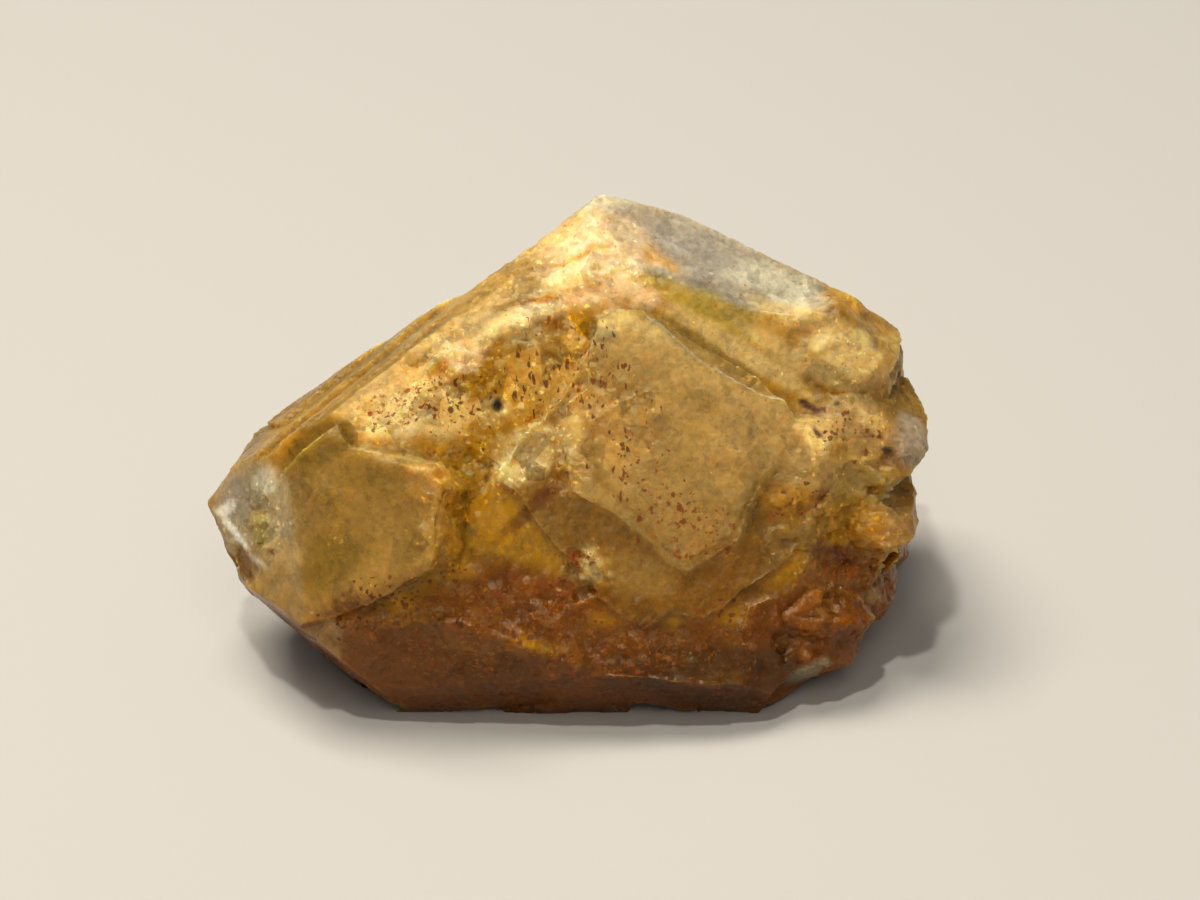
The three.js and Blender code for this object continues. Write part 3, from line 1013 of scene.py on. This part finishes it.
@dataclass
class Colouring:
    """Lays the crystal's colours and rust on its points, in millimetres where a value is a size.

    Where a value is a pair that ends in fade, it says where something begins and where it is full.

    Attributes:
        skin: The surface to colour.
        low: The colour that low places start from, darker partly as painted shade.
        high: The colour that high places start from, lighter partly as painted light from above.
        height_fade: The heights between which the one turns into the other.
        height_drift: What makes that border wander.
        edge_softness: How often the borders of faces and plates are blended.
        chip_strength: How much of its own tone a chip takes, from 0 to 1.
        streak_squeeze: What distances along the streaks are multiplied by.
        wide_streak: How much wider the second, wider streaks are.
        streak_contrast: How much the streaks lighten and darken.
        back_tones: The tones of the patches on the hidden sides.
        back_strength: How much of those tones they take, from 0 to 1.
        back_fade: How far backwards a place has to face for them.
        back_patches: The patches' width and first pattern.
        back_patch_fade: Where a patch begins and where it is full.
        back_rust: How thick the rust of the hidden sides is, from 0 to 1.
        back_rust_fade: How far backwards a place has to face for it.
        rust_patches: The width and pattern of its patches.
        rust_patch_fade: Where such a patch begins and where it is full.
    """

    skin: CrystalSkin
    low: Tone = Tone.AMBER
    high: Tone = Tone.HONEY
    height_fade: tuple[float, float] = (1.5, 8.0)
    height_drift: Relief = Relief(4.0, 1.2, 51)
    edge_softness: int = 3
    chip_strength: float = 0.85
    streak_squeeze: float = 0.12
    wide_streak: float = 2.5
    streak_contrast: float = 0.3
    back_tones: tuple[Tone, ...] = (Tone.STRAW, Tone.OCHRE, Tone.HONEY, Tone.TAN)
    back_strength: float = 0.55
    back_fade: tuple[float, float] = (-0.1, 0.5)
    back_patches: tuple[float, int] = (3.6, 70)
    back_patch_fade: tuple[float, float] = (0.0, 0.5)
    back_rust: float = 0.8
    back_rust_fade: tuple[float, float] = (0.0, 0.5)
    rust_patches: Relief = Relief(3.0, 1.0, 61)
    rust_patch_fade: tuple[float, float] = (0.1, 0.6)

    def ground(self) -> np.ndarray:
        """The colour that every place starts from: dark amber below, tan above, partly the crystal's own
        colour and partly painted shade below and painted light above.
        """
        points = self.skin.points
        height = points[:, 2] + self.height_drift.waves(points)
        return lay_over(self.low.linear(), self.high.linear(), smooth(*self.height_fade, height))

    def tint(self) -> np.ndarray:
        """The finished colour of each point."""
        colour = self.ground()
        for plate in PLATES:
            share = plate.strength * self.skin.on_face(plate.face, plate.reach, plate.lift)
            colour = lay_over(colour, plate.tone.linear(), share)
        colour = self.skin.spread(colour, self.edge_softness)
        for streaks in STREAKS:
            colour *= self.streaked(streaks)[:, None]
        for index, spot in enumerate((*TINTS, *FLAKES)):
            colour = lay_over(colour, spot.tone.linear(), self.skin.in_spot(spot, Seed.TINTS + index))
        for chip in CHIPS:
            colour = lay_over(colour, chip.tone.linear(), self.chip_strength * self.skin.near(chip))
        return self.vary_back(colour)

    def streaked(self, streaks: Lines) -> np.ndarray:
        """Lightens and darkens a face in long, fine streaks, as growth ridges do.

        Args:
            streaks: The streaks.

        Returns:
            What each point's colour is multiplied by.
        """
        flat = streaks.face.value.lines(self.skin.points, streaks.lean, self.streak_squeeze)
        fine = Grain.waves(flat, streaks.spacing, streaks.seed)
        fine = fine + Grain.waves(flat, self.wide_streak * streaks.spacing, streaks.seed + 1)
        return 1.0 + self.streak_contrast * fine * self.skin.on_face(streaks.face)

    def vary_back(self, colour: np.ndarray) -> np.ndarray:
        """Clouds the hidden sides with wide patches of other golden tones."""
        hidden = smooth(*self.back_fade, self.skin.normals[:, 1])
        width, first = self.back_patches
        for seed, tone in enumerate(self.back_tones, first):
            patches = smooth(*self.back_patch_fade, Grain.waves(self.skin.points, width, seed))
            colour = lay_over(colour, tone.linear(), self.back_strength * hidden * patches)
        return colour

    def rust(self) -> np.ndarray:
        """How thickly rust dots lie: as seen in front, and scattered over the hidden sides."""
        seen = self.skin.most(RUST, Seed.RUST)
        hidden = smooth(*self.back_rust_fade, self.skin.normals[:, 1])
        patches = smooth(*self.rust_patch_fade, self.rust_patches.waves(self.skin.points))
        return np.maximum(seen, self.back_rust * hidden * patches)

    def store(self, name: str, values: np.ndarray) -> None:
        """Keeps one number for each point under a name that the finish reads."""
        layer = self.skin.piece.data.attributes.new(name, "FLOAT", "POINT")
        layer.data.foreach_set("value", values.astype(np.float32))

    def lay(self) -> None:
        """Stores the colours, the rust's thickness and the broken ground in the mesh."""
        colour = self.tint()
        layer = self.skin.piece.data.color_attributes.new("tint", "FLOAT_COLOR", "POINT")
        full = np.concatenate([colour, np.ones((len(colour), 1))], axis=1)
        layer.data.foreach_set("color", full.astype(np.float32).ravel())
        self.store("rust", self.rust())
        self.store("streak", self.skin.most(RUST_STREAKS, Seed.RUST_STREAKS))
        self.store("broken", self.skin.broken_ground())


class Tree:
    """A node tree with short ways to add nodes and to feed their inputs."""

    COLUMN_WIDTH = 190
    FIRST_COLUMN = -1400
    MIX_SHARE, MIX_FIRST, MIX_SECOND = 0, 6, 7
    MIX_RESULT = 2

    def __init__(self, tree: bpy.types.NodeTree) -> None:
        """Takes the tree to work on."""
        self.tree = tree
        self.column = 0

    def feed(self, target: bpy.types.NodeSocket, value: object) -> None:
        """Gives an input what it takes.

        Args:
            target: The input.
            value: An output for it to follow, or a colour or number for it to keep.
        """
        if isinstance(value, bpy.types.NodeSocket):
            self.tree.links.new(value, target)
        elif target.type == "RGBA":
            target.default_value = (*value, 1.0)
        else:
            target.default_value = value

    def add(
        self, kind: str, inputs: dict[str | int, object] | None = None, **settings: object
    ) -> bpy.types.Node:
        """Adds a node.

        Args:
            kind: Its kind.
            inputs: What its inputs are fed, by their names or numbers.
            settings: Its settings.

        Returns:
            The node.
        """
        node = self.tree.nodes.new(kind)
        node.location = (self.column * self.COLUMN_WIDTH + self.FIRST_COLUMN, 0)
        self.column += 1
        for name, value in settings.items():
            setattr(node, name, value)
        for name, value in (inputs or {}).items():
            self.feed(node.inputs[name], value)
        return node

    def maths(self, kind: str, *inputs: object, clamp: bool = False) -> bpy.types.NodeSocket:
        """Adds a Math node.

        Args:
            kind: Its operation.
            inputs: An output or a plain number for each input.
            clamp: Whether its result is kept from 0 to 1.

        Returns:
            Its result.
        """
        node = self.add("ShaderNodeMath", dict(enumerate(inputs)), operation=kind, use_clamp=clamp)
        return node.outputs[0]

    def vector(self, kind: str, first: object, second: object) -> bpy.types.Node:
        """Adds a Vector Math node.

        Args:
            kind: Its operation.
            first: What its first input is fed.
            second: What its second input is fed, or the input Scale where it scales.

        Returns:
            The node.
        """
        other = "Scale" if kind == "SCALE" else 1
        return self.add("ShaderNodeVectorMath", {0: first, other: second}, operation=kind)

    def blend(self, share: object, first: object, second: object, kind: str = "MIX") -> bpy.types.NodeSocket:
        """Adds a colour Mix node.

        Args:
            share: How much of the second colour shows.
            first: The first colour.
            second: The second colour.
            kind: How they are mixed.

        Returns:
            The mixed colour.
        """
        inputs = {self.MIX_SHARE: share, self.MIX_FIRST: first, self.MIX_SECOND: second}
        node = self.add("ShaderNodeMix", inputs, data_type="RGBA", blend_type=kind)
        return node.outputs[self.MIX_RESULT]

    @staticmethod
    def open_group(
        name: str, numbers: tuple[str, ...], results: tuple[str, ...]
    ) -> tuple[Tree, bpy.types.NodeOutputs]:
        """Begins a node group that takes a Vector and some numbers, and gives numbers.

        Args:
            name: Its name.
            numbers: The names of the numbers that it takes.
            results: The names of the numbers that it gives.

        Returns:
            The group's tree, and what the group is given.
        """
        group = bpy.data.node_groups.new(name, "ShaderNodeTree")
        face = group.interface
        face.new_socket("Vector", in_out="INPUT", socket_type="NodeSocketVector")
        for label in numbers:
            face.new_socket(label, in_out="INPUT", socket_type="NodeSocketFloat")
        for label in results:
            face.new_socket(label, in_out="OUTPUT", socket_type="NodeSocketFloat")
        tree = Tree(group)
        return tree, tree.add("NodeGroupInput").outputs


@dataclass(frozen=True)
class SpeckGroup:
    """A node group that scatters small specks, thick where a density says so.

    Attributes:
        name: Its name.
        fray: How far a speck's edge wanders, in metres.
        fray_scale: How fine that is, to the metre.
        least_size: The smallest speck's size, as a share of the largest one's.
        size_range: How much larger the largest one is, as such a share.
        edge: How sharp a speck's edge is.
    """

    name: str = "Specks"
    fray: float = 0.0003
    fray_scale: float = 5500.0
    least_size: float = 0.3
    size_range: float = 0.7
    edge: float = 14.0

    def build(self) -> bpy.types.NodeTree:
        """Makes the group.

        Returns:
            The node group, with inputs Vector, Density, Scale and Size and the output Mask.
        """
        tree, given = Tree.open_group(self.name, ("Density", "Scale", "Size"), ("Mask",))
        warp = tree.add("ShaderNodeTexNoise", {"Vector": given["Vector"], "Scale": self.fray_scale})
        shift = tree.vector("SCALE", warp.outputs["Color"], self.fray)
        frayed = tree.vector("ADD", given["Vector"], shift.outputs[0])
        inputs = {"Vector": frayed.outputs[0], "Scale": given["Scale"]}
        cells = tree.add("ShaderNodeTexVoronoi", inputs, feature="F1").outputs
        parts = tree.add("ShaderNodeSeparateColor", {"Color": cells["Color"]}).outputs
        spread = tree.maths("MULTIPLY_ADD", parts["Green"], self.size_range, self.least_size)
        grown = tree.maths("MULTIPLY", given["Size"], spread)
        inside = tree.maths("SUBTRACT", grown, cells["Distance"])
        crisp = tree.maths("MULTIPLY", inside, self.edge, clamp=True)
        chosen = tree.maths("LESS_THAN", parts["Red"], given["Density"])
        tree.add("NodeGroupOutput", {"Mask": tree.maths("MULTIPLY", crisp, chosen)})
        return tree.tree


@dataclass(frozen=True)
class FacetGroup:
    """A node group of small tilted facets, which catch the light as broken crystal does."""

    name: str = "Small facets"
    level: tuple[float, float, float] = (0.5, 0.5, 0.5)

    def build(self) -> bpy.types.NodeTree:
        """Makes the group.

        Returns:
            The node group, with inputs Vector and Scale and the outputs Height and Shade.
        """
        tree, given = Tree.open_group(self.name, ("Scale",), ("Height", "Shade"))
        scaled = tree.vector("SCALE", given["Vector"], given["Scale"]).outputs[0]
        cells = tree.add("ShaderNodeTexVoronoi", {"Vector": scaled, "Scale": 1.0}, feature="F1").outputs
        offset = tree.vector("SUBTRACT", scaled, cells["Position"])
        tilt = tree.vector("SUBTRACT", cells["Color"], self.level)
        slope = tree.vector("DOT_PRODUCT", offset.outputs[0], tilt.outputs[0])
        parts = tree.add("ShaderNodeSeparateColor", {"Color": cells["Color"]})
        results = {"Height": slope.outputs["Value"], "Shade": parts.outputs["Blue"]}
        tree.add("NodeGroupOutput", results)
        return tree.tree


@dataclass(frozen=True)
class Layer:
    """One layer of unevenness in the finish: how fine it is, to the metre, and how much it counts."""

    scale: float
    amount: float


@dataclass(frozen=True)
class Specks:
    """One size of rust speck.

    Attributes:
        scale: How many places for a speck there are to the metre.
        size: The largest speck's radius, as a share of its place.
        share: The share of the places that are taken where rust is thickest.
    """

    scale: float
    size: float
    share: float


@dataclass(frozen=True)
class CrystalFinish:
    """Translucent golden phenakite: clear within, clouded, and specked with rust.

    Attributes:
        name: The material's name.
        ior: Phenakite's index of refraction.
        shine: How strongly the surface mirrors.
        shine_colour: The colour of what it mirrors.
        transmission: The share of the light that passes straight through.
        scatter: The share that is scattered inside.
        scatter_reach: How far red, green and blue scatter, for each scatter_scale.
        scatter_scale: The unit of that reach, in metres.
        absorption: What colour the clear inside leaves.
        absorption_density: How quickly it does so.
        mist: Wide cloudiness.
        veil: Finer veils.
        sugar: A sugary grain.
        small_facets: The smallest broken facets.
        large_facets: Larger ones.
        inner_facets: The largest, which lie inside.
        darkest: What the light and dark of all these start from.
        block_contrast: How much more the facets differ where the surface is broken, as painted light and
            shade of the facets.
        block_middle: The shade at which they stay as they are.
        iron: Wide patches of iron stain.
        iron_colour: The stain's colour.
        iron_middle: The noise at which the stain begins.
        iron_edge: How sharply it begins.
        dust: The finest specks of rust.
        dots: Small round ones.
        drops: Large ones.
        lines: Steep, drawn-out ones.
        painted_glints: Painted glints: small places on broken ground laid on as brighter copies of their
            colour.
        stray_painted_glints: The share of them that lies anywhere.
        painted_glint_light: How much brighter the painted glints are.
        stray_dust: The share of the dust that lies anywhere.
        dust_strength: How much of its colour the dust takes.
        rust_strength: How much of their colour the other specks take.
        rust_colour: The rust's lighter colour.
        dark_rust_colour: Its darker colour.
        dust_colour: The dust's colour.
        streak_lean: How the steep lines lean, in degrees.
        streak_stretch: What distances along them are multiplied by.
        polish: The roughness of the clearest places.
        veil_roughness: How much rougher the veils are.
        rust_roughness: How much rougher the rust is.
        facet_relief: How high the tiny facets stand everywhere.
        broken_relief: How much higher they stand on broken ground.
        grain: The finest grain of the surface.
        relief_strength: How strongly that relief shows.
        relief_depth: Its depth, in metres.
        cloud_detail: How many finer layers the soft noise has.
        cloud_roughness: How strong they are.
    """

    name: str = "phenakite"
    ior: float = 1.66
    shine: float = 0.2
    shine_colour: tuple[float, float, float] = (1.0, 0.89, 0.62)
    transmission: float = 0.12
    scatter: float = 0.92
    scatter_reach: tuple[float, float, float] = (1.0, 0.72, 0.35)
    scatter_scale: float = 0.0024
    absorption: tuple[float, float, float] = (0.9, 0.62, 0.16)
    absorption_density: float = 260.0
    mist: Layer = Layer(140.0, 0.5)
    veil: Layer = Layer(620.0, 0.4)
    sugar: Layer = Layer(4600.0, 1.0)
    small_facets: Layer = Layer(3300.0, 0.34)
    large_facets: Layer = Layer(1000.0, 0.22)
    inner_facets: Layer = Layer(380.0, 0.16)
    darkest: float = -0.25
    block_contrast: float = 0.7
    block_middle: float = 0.33
    iron: Layer = Layer(300.0, 0.4)
    iron_colour: str = "F5CF8C"
    iron_middle: float = 0.5
    iron_edge: float = 5.0
    dust: Specks = Specks(7000.0, 0.5, 0.7)
    dots: Specks = Specks(4300.0, 0.5, 0.85)
    drops: Specks = Specks(2500.0, 0.38, 0.8)
    lines: Specks = Specks(5200.0, 0.48, 0.95)
    painted_glints: Specks = Specks(4400.0, 0.46, 0.5)
    stray_painted_glints: float = 0.03
    painted_glint_light: float = 1.75
    stray_dust: float = 0.06
    dust_strength: float = 0.6
    rust_strength: float = 0.85
    rust_colour: str = "A04812"
    dark_rust_colour: str = "4E200C"
    dust_colour: str = "AE641E"
    streak_lean: tuple[float, float] = (30.0, -22.0)
    streak_stretch: float = 0.16
    polish: float = 0.05
    veil_roughness: float = 0.5
    rust_roughness: float = 0.35
    facet_relief: float = 0.5
    broken_relief: float = 2.2
    grain: Layer = Layer(3600.0, 0.5)
    relief_strength: float = 0.9
    relief_depth: float = 0.00014
    cloud_detail: float = 6.0
    cloud_roughness: float = 0.6

    def cloud(self, tree: Tree, place: bpy.types.NodeSocket, scale: float) -> bpy.types.NodeSocket:
        """Adds soft, grainy noise.

        Args:
            tree: The finish's node tree.
            place: The coordinates that the noise lies in.
            scale: How fine it is, to the metre.

        Returns:
            The noise's value.
        """
        inputs = {"Vector": place, "Scale": scale, "Detail": self.cloud_detail}
        node = tree.add("ShaderNodeTexNoise", {**inputs, "Roughness": self.cloud_roughness})
        return node.outputs["Fac"]

    def specks(
        self, tree: Tree, group: bpy.types.NodeTree, place: bpy.types.NodeSocket,
        specks: Specks, thickness: bpy.types.NodeSocket,
    ) -> bpy.types.NodeSocket:
        """Adds one size of rust speck.

        Args:
            tree: The finish's node tree.
            group: The speck group.
            place: The coordinates that the specks lie in.
            specks: The specks' size and number.
            thickness: How thick the rust lies, from 0 to 1.

        Returns:
            The specks' mask.
        """
        density = tree.maths("MULTIPLY", thickness, specks.share)
        inputs = {"Vector": place, "Density": density, "Scale": specks.scale, "Size": specks.size}
        return tree.add("ShaderNodeGroup", inputs, node_tree=group).outputs["Mask"]

    def clouded(
        self, tree: Tree, place: bpy.types.NodeSocket, tint: bpy.types.NodeSocket,
        broken: bpy.types.NodeSocket, veil: bpy.types.NodeSocket, facets: tuple[bpy.types.Node, ...],
    ) -> bpy.types.NodeSocket:
        """Lightens and darkens the tint as cloud, sugary grain and inner facets do, paints light and shade
        on the small and large facets, most on broken ground, and stains it.

        Args:
            tree: The finish's node tree.
            place: The coordinates of the finish.
            tint: The colour laid on the crystal.
            broken: Where its surface is broken.
            veil: The noise of its veils.
            facets: The small, large and inner facets.

        Returns:
            The clouded colour.
        """
        small, large, inner = (node.outputs["Shade"] for node in facets)
        mist = self.cloud(tree, place, self.mist.scale)
        sugar = self.cloud(tree, place, self.sugar.scale)
        light: object = self.darkest
        for shade, layer in (
            (mist, self.mist),
            (veil, self.veil),
            (sugar, self.sugar),
            (small, self.small_facets),
            (large, self.large_facets),
            (inner, self.inner_facets),
        ):
            light = tree.maths("MULTIPLY_ADD", shade, layer.amount, light)
        blocks = tree.maths("SUBTRACT", large, self.block_middle)
        contrast = tree.maths("MULTIPLY", broken, self.block_contrast)
        light = tree.maths("MULTIPLY_ADD", contrast, blocks, light)
        lit = tree.vector("SCALE", tint, light).outputs[0]
        iron = tree.maths("SUBTRACT", self.cloud(tree, place, self.iron.scale), self.iron_middle)
        stain = tree.maths("MULTIPLY", iron, self.iron_edge, clamp=True)
        stained = tree.blend(1.0, lit, linear(self.iron_colour), "MULTIPLY")
        return tree.blend(tree.maths("MULTIPLY", stain, self.iron.amount), lit, stained)

    def rusted(
        self, tree: Tree, place: bpy.types.NodeSocket, colour: bpy.types.NodeSocket,
        rust: bpy.types.NodeSocket, streak: bpy.types.NodeSocket, broken: bpy.types.NodeSocket,
        shade: bpy.types.NodeSocket,
    ) -> tuple[bpy.types.NodeSocket, bpy.types.NodeSocket]:
        """Specks the colour with rust dust, dots, drops and steep lines, and lays painted glints on broken
        ground.

        Args:
            tree: The finish's node tree.
            place: The coordinates of the finish.
            colour: The colour without rust.
            rust: How thick the rust dots lie.
            streak: How thick the rust lines lie.
            broken: Where the surface is broken, and where painted glints lie.
            shade: A number that differs from place to place, for the rust's own shades.

        Returns:
            The rusted colour with its painted glints, and the mask of the dots, drops and lines.
        """
        group = SpeckGroup().build()
        turn = tuple(math.radians(angle) for angle in self.streak_lean)
        stretch = (1.0, 1.0, self.streak_stretch)
        inputs = {"Vector": place, "Rotation": (*turn, 0.0), "Scale": stretch}
        leaning = tree.add("ShaderNodeMapping", inputs)
        dusty = tree.maths("ADD", rust, self.stray_dust)
        dust = self.specks(tree, group, place, self.dust, dusty)
        dots = self.specks(tree, group, place, self.dots, rust)
        drops = self.specks(tree, group, place, self.drops, rust)
        lines = self.specks(tree, group, leaning.outputs[0], self.lines, streak)
        # Painted glints: small places, mostly on broken ground, made brighter copies of their colour.
        glinting = tree.maths("ADD", broken, self.stray_painted_glints)
        painted_glints = self.specks(tree, group, place, self.painted_glints, glinting)
        brighter = tree.vector("SCALE", colour, self.painted_glint_light)
        colour = tree.blend(painted_glints, colour, brighter.outputs[0])
        dulling = tree.maths("MULTIPLY", dust, self.dust_strength)
        faint = tree.blend(dulling, colour, linear(self.dust_colour))
        marks = tree.maths("MAXIMUM", tree.maths("MAXIMUM", dots, drops), lines)
        deep = tree.blend(shade, linear(self.rust_colour), linear(self.dark_rust_colour))
        return tree.blend(tree.maths("MULTIPLY", marks, self.rust_strength), faint, deep), marks

    def relief(
        self, tree: Tree, place: bpy.types.NodeSocket, broken: bpy.types.NodeSocket, small: bpy.types.Node
    ) -> bpy.types.NodeSocket:
        """Adds the relief that is too fine for the mesh: tiny facets and grain.

        Args:
            tree: The finish's node tree.
            place: The coordinates of the finish.
            broken: Where the surface is broken.
            small: The small facets.

        Returns:
            The surface's direction.
        """
        share = tree.maths("MULTIPLY_ADD", broken, self.broken_relief, self.facet_relief)
        facet = tree.maths("MULTIPLY", small.outputs["Height"], share)
        grain = self.cloud(tree, place, self.grain.scale)
        height = tree.maths("MULTIPLY_ADD", grain, self.grain.amount, facet)
        inputs = {"Strength": self.relief_strength, "Distance": self.relief_depth, "Height": height}
        return tree.add("ShaderNodeBump", inputs).outputs["Normal"]

    def surface(self, tree: Tree) -> bpy.types.NodeSocket:
        """Adds the crystal's surface.

        Args:
            tree: The finish's node tree.

        Returns:
            The surface's shader.
        """
        place = tree.add("ShaderNodeTexCoord").outputs["Object"]
        tint = tree.add("ShaderNodeAttribute", attribute_name="tint").outputs["Color"]
        rust, streak, broken = (
            tree.add("ShaderNodeAttribute", attribute_name=name).outputs["Fac"]
            for name in ("rust", "streak", "broken")
        )
        group = FacetGroup().build()
        layers = (self.small_facets, self.large_facets, self.inner_facets)
        small, large, inner = (
            tree.add("ShaderNodeGroup", {"Vector": place, "Scale": layer.scale}, node_tree=group)
            for layer in layers
        )
        veil = self.cloud(tree, place, self.veil.scale)
        colour = self.clouded(tree, place, tint, broken, veil, (small, large, inner))
        colour, marks = self.rusted(tree, place, colour, rust, streak, broken, inner.outputs["Shade"])
        rough = tree.maths("MULTIPLY_ADD", veil, self.veil_roughness, self.polish)
        rough = tree.maths("MULTIPLY_ADD", marks, self.rust_roughness, rough)
        inputs = {
            "Base Color": colour,
            "Roughness": rough,
            "Normal": self.relief(tree, place, broken, small),
            "IOR": self.ior,
            "Specular IOR Level": self.shine,
            "Specular Tint": self.shine_colour,
            "Transmission Weight": self.transmission,
            "Subsurface Weight": self.scatter,
            "Subsurface Radius": self.scatter_reach,
            "Subsurface Scale": self.scatter_scale,
        }
        shader = tree.add("ShaderNodeBsdfPrincipled", inputs, subsurface_method="RANDOM_WALK")
        return shader.outputs["BSDF"]

    def build(self) -> bpy.types.Material:
        """Makes the material.

        Returns:
            The material, ready for the crystal.
        """
        material = bpy.data.materials.new(self.name)
        material.use_nodes = True
        material.node_tree.nodes.clear()
        tree = Tree(material.node_tree)
        inside = {"Color": self.absorption, "Density": self.absorption_density}
        volume = tree.add("ShaderNodeVolumeAbsorption", inside).outputs["Volume"]
        tree.add("ShaderNodeOutputMaterial", {"Surface": self.surface(tree), "Volume": volume})
        return material


@dataclass
class Crystal:
    """The crystal as one finished piece, worked from a copy of its solid.

    Attributes:
        solid: The crystal's solid.
        view: The camera that its spots are seen from.
        name: The piece's name.
        weld: How near two points are one, in metres.
        depth: How often space is halved for the fine skin.
        quick_depth: The same for quick work; not used.
        fill: How much of that space the crystal fills.
        sharpness: How sharp the skin keeps the solid's edges.
        crease: The angle from which an edge looks sharp, in degrees.
    """

    solid: bpy.types.Object
    view: PhotoView
    name: str = "phenakite"
    weld: float = 0.000002
    depth: int = 8
    quick_depth: int = 7
    fill: float = 0.7
    sharpness: float = 1.0
    crease: float = 24.0

    def copy_solid(self) -> bpy.types.Object:
        """Copies the solid's mesh into a piece of its own and merges its loose triangles.

        Returns:
            The new piece, with its place in its mesh.
        """
        piece = bpy.data.objects.new(self.name, self.solid.data.copy())
        bpy.context.scene.collection.objects.link(piece)
        bpy.ops.object.select_all(action="DESELECT")
        piece.select_set(True)
        bpy.context.view_layer.objects.active = piece
        bpy.ops.object.mode_set(mode="EDIT")
        bpy.ops.mesh.select_all(action="SELECT")
        bpy.ops.mesh.remove_doubles(threshold=self.weld)
        bpy.ops.object.mode_set(mode="OBJECT")
        return piece

    def refine(self, piece: bpy.types.Object) -> None:
        """Gives the piece an even, fine skin, fine enough to carve."""
        remesh = piece.modifiers.new("Fine skin", "REMESH")
        remesh.mode = "SHARP"
        remesh.octree_depth = self.depth
        remesh.scale = self.fill
        remesh.sharpness = self.sharpness
        bpy.ops.object.modifier_apply(modifier=remesh.name)

    def build(self) -> bpy.types.Object:
        """Makes the piece: copied, refined, carved, coloured and finished.

        Returns:
            The finished crystal.
        """
        piece = self.copy_solid()
        self.refine(piece)
        skin = CrystalSkin(piece, self.view)
        Colouring(skin).lay()
        Carving(skin).carve()
        piece.data.materials.clear()
        piece.data.materials.append(CrystalFinish().build())
        bpy.ops.object.shade_smooth_by_angle(angle=math.radians(self.crease))
        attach(piece, BODY)
        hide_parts(NODE)
        return piece


@dataclass(frozen=True)
class Lamp:
    """A soft square lamp.

    Attributes:
        name: Its name.
        place: Where it hangs, in metres.
        side: The length of its side, in metres.
        power: Its power, in watts.
        colour: Its colour, as six hexadecimal digits.
    """

    name: str
    place: tuple[float, float, float]
    side: float
    power: float
    colour: str


@dataclass
class Studio:
    """A pale floor, soft light and the camera, in metres.

    Attributes:
        view: The camera's place and lens.
        floor_size: The length of the floor's side.
        floor_colour: Its colour.
        floor_roughness: How dull it is.
        lamps: A key from above and behind on the left, a weak fill, and a small lamp for glints.
        aim: The point that the lamps face.
        sky_colour: The colour of the even light from all round.
        sky_strength: Its strength.
        bounces: How often light of each kind is followed on.
        noise: How much noise may be left.
        nearest: The nearest distance that the camera sees.
    """

    view: PhotoView
    floor_size: float = 1.6
    floor_colour: str = "B9B7B2"
    floor_roughness: float = 0.85
    lamps: tuple[Lamp, ...] = (
        Lamp("key", (-0.09, 0.05, 0.32), 0.16, 1.2, "FFF6E8"),
        Lamp("front fill", (0.04, -0.30, 0.34), 0.25, 0.5, "FFF3E2"),
        Lamp("glint", (-0.05, -0.10, 0.34), 0.02, 0.45, "FFFAF0"),
    )
    aim: tuple[float, float, float] = (0.0, 0.0, 0.008)
    sky_colour: tuple[float, float, float] = (0.82, 0.84, 0.88)
    sky_strength: float = 0.16
    bounces: tuple[tuple[str, int], ...] = (("max", 4), ("diffuse", 2), ("glossy", 3), ("transmission", 2))
    noise: float = 0.1
    nearest: float = 0.005

    def floor(self) -> bpy.types.Object:
        """Lays the floor that the crystal rests on."""
        bpy.ops.mesh.primitive_plane_add(size=self.floor_size, location=(0.0, 0.0, 0.0))
        plane = bpy.context.active_object
        plane.name = "floor"
        material = bpy.data.materials.new("pale floor")
        material.use_nodes = True
        shader = material.node_tree.nodes["Principled BSDF"]
        shader.inputs["Base Color"].default_value = (*linear(self.floor_colour), 1.0)
        shader.inputs["Roughness"].default_value = self.floor_roughness
        plane.data.materials.append(material)
        return plane

    def hang(self, lamp: Lamp) -> None:
        """Hangs a lamp so that it faces the crystal."""
        bpy.ops.object.light_add(type="AREA", location=lamp.place)
        light = bpy.context.active_object
        light.name = lamp.name
        light.data.size = lamp.side
        light.data.energy = lamp.power
        light.data.color = linear(lamp.colour)
        aim = Vector(self.aim) - Vector(lamp.place)
        light.rotation_euler = aim.to_track_quat("-Z", "Y").to_euler()

    def light(self) -> None:
        """Hangs the lamps, lights the surroundings evenly, and says how far light is followed."""
        for lamp in self.lamps:
            self.hang(lamp)
        world = bpy.data.worlds.new("studio")
        world.use_nodes = True
        sky = world.node_tree.nodes["Background"]
        sky.inputs["Color"].default_value = (*self.sky_colour, 1.0)
        sky.inputs["Strength"].default_value = self.sky_strength
        bpy.context.scene.world = world
        bpy.context.scene.view_settings.view_transform = "Standard"
        rays = bpy.context.scene.cycles
        for kind, times in self.bounces:
            setattr(rays, f"{kind}_bounces", times)
        rays.adaptive_threshold = self.noise

    def camera(self) -> None:
        """Sets the camera at the picture's angle."""
        bpy.ops.object.camera_add()
        camera = bpy.context.active_object
        camera.data.lens = self.view.lens
        camera.data.sensor_width = self.view.sensor
        camera.data.clip_start = self.nearest
        right, up, towards = self.view.axes()
        turn = Matrix((right, up, towards)).transposed().to_4x4()
        turn.translation = Vector((self.view.eye() + DRAWING_POINT) * MM)
        camera.matrix_world = turn
        bpy.context.scene.camera = camera

    def build(self) -> None:
        """Sets up the floor, the lamps and the camera."""
        self.floor()
        self.light()
        self.camera()


def main() -> None:
    logging.basicConfig(level=logging.INFO, format="%(name)s: %(message)s")
    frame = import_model()
    view = PhotoView()
    piece = Crystal(frame["nodes"][NODE], view).build()
    LOG.info("%s: %d faces", piece.name, len(piece.data.polygons))
    Studio(view).build()
    LOG.info("studio: floor, lamps and camera")


if __name__ == "__main__":
    main()
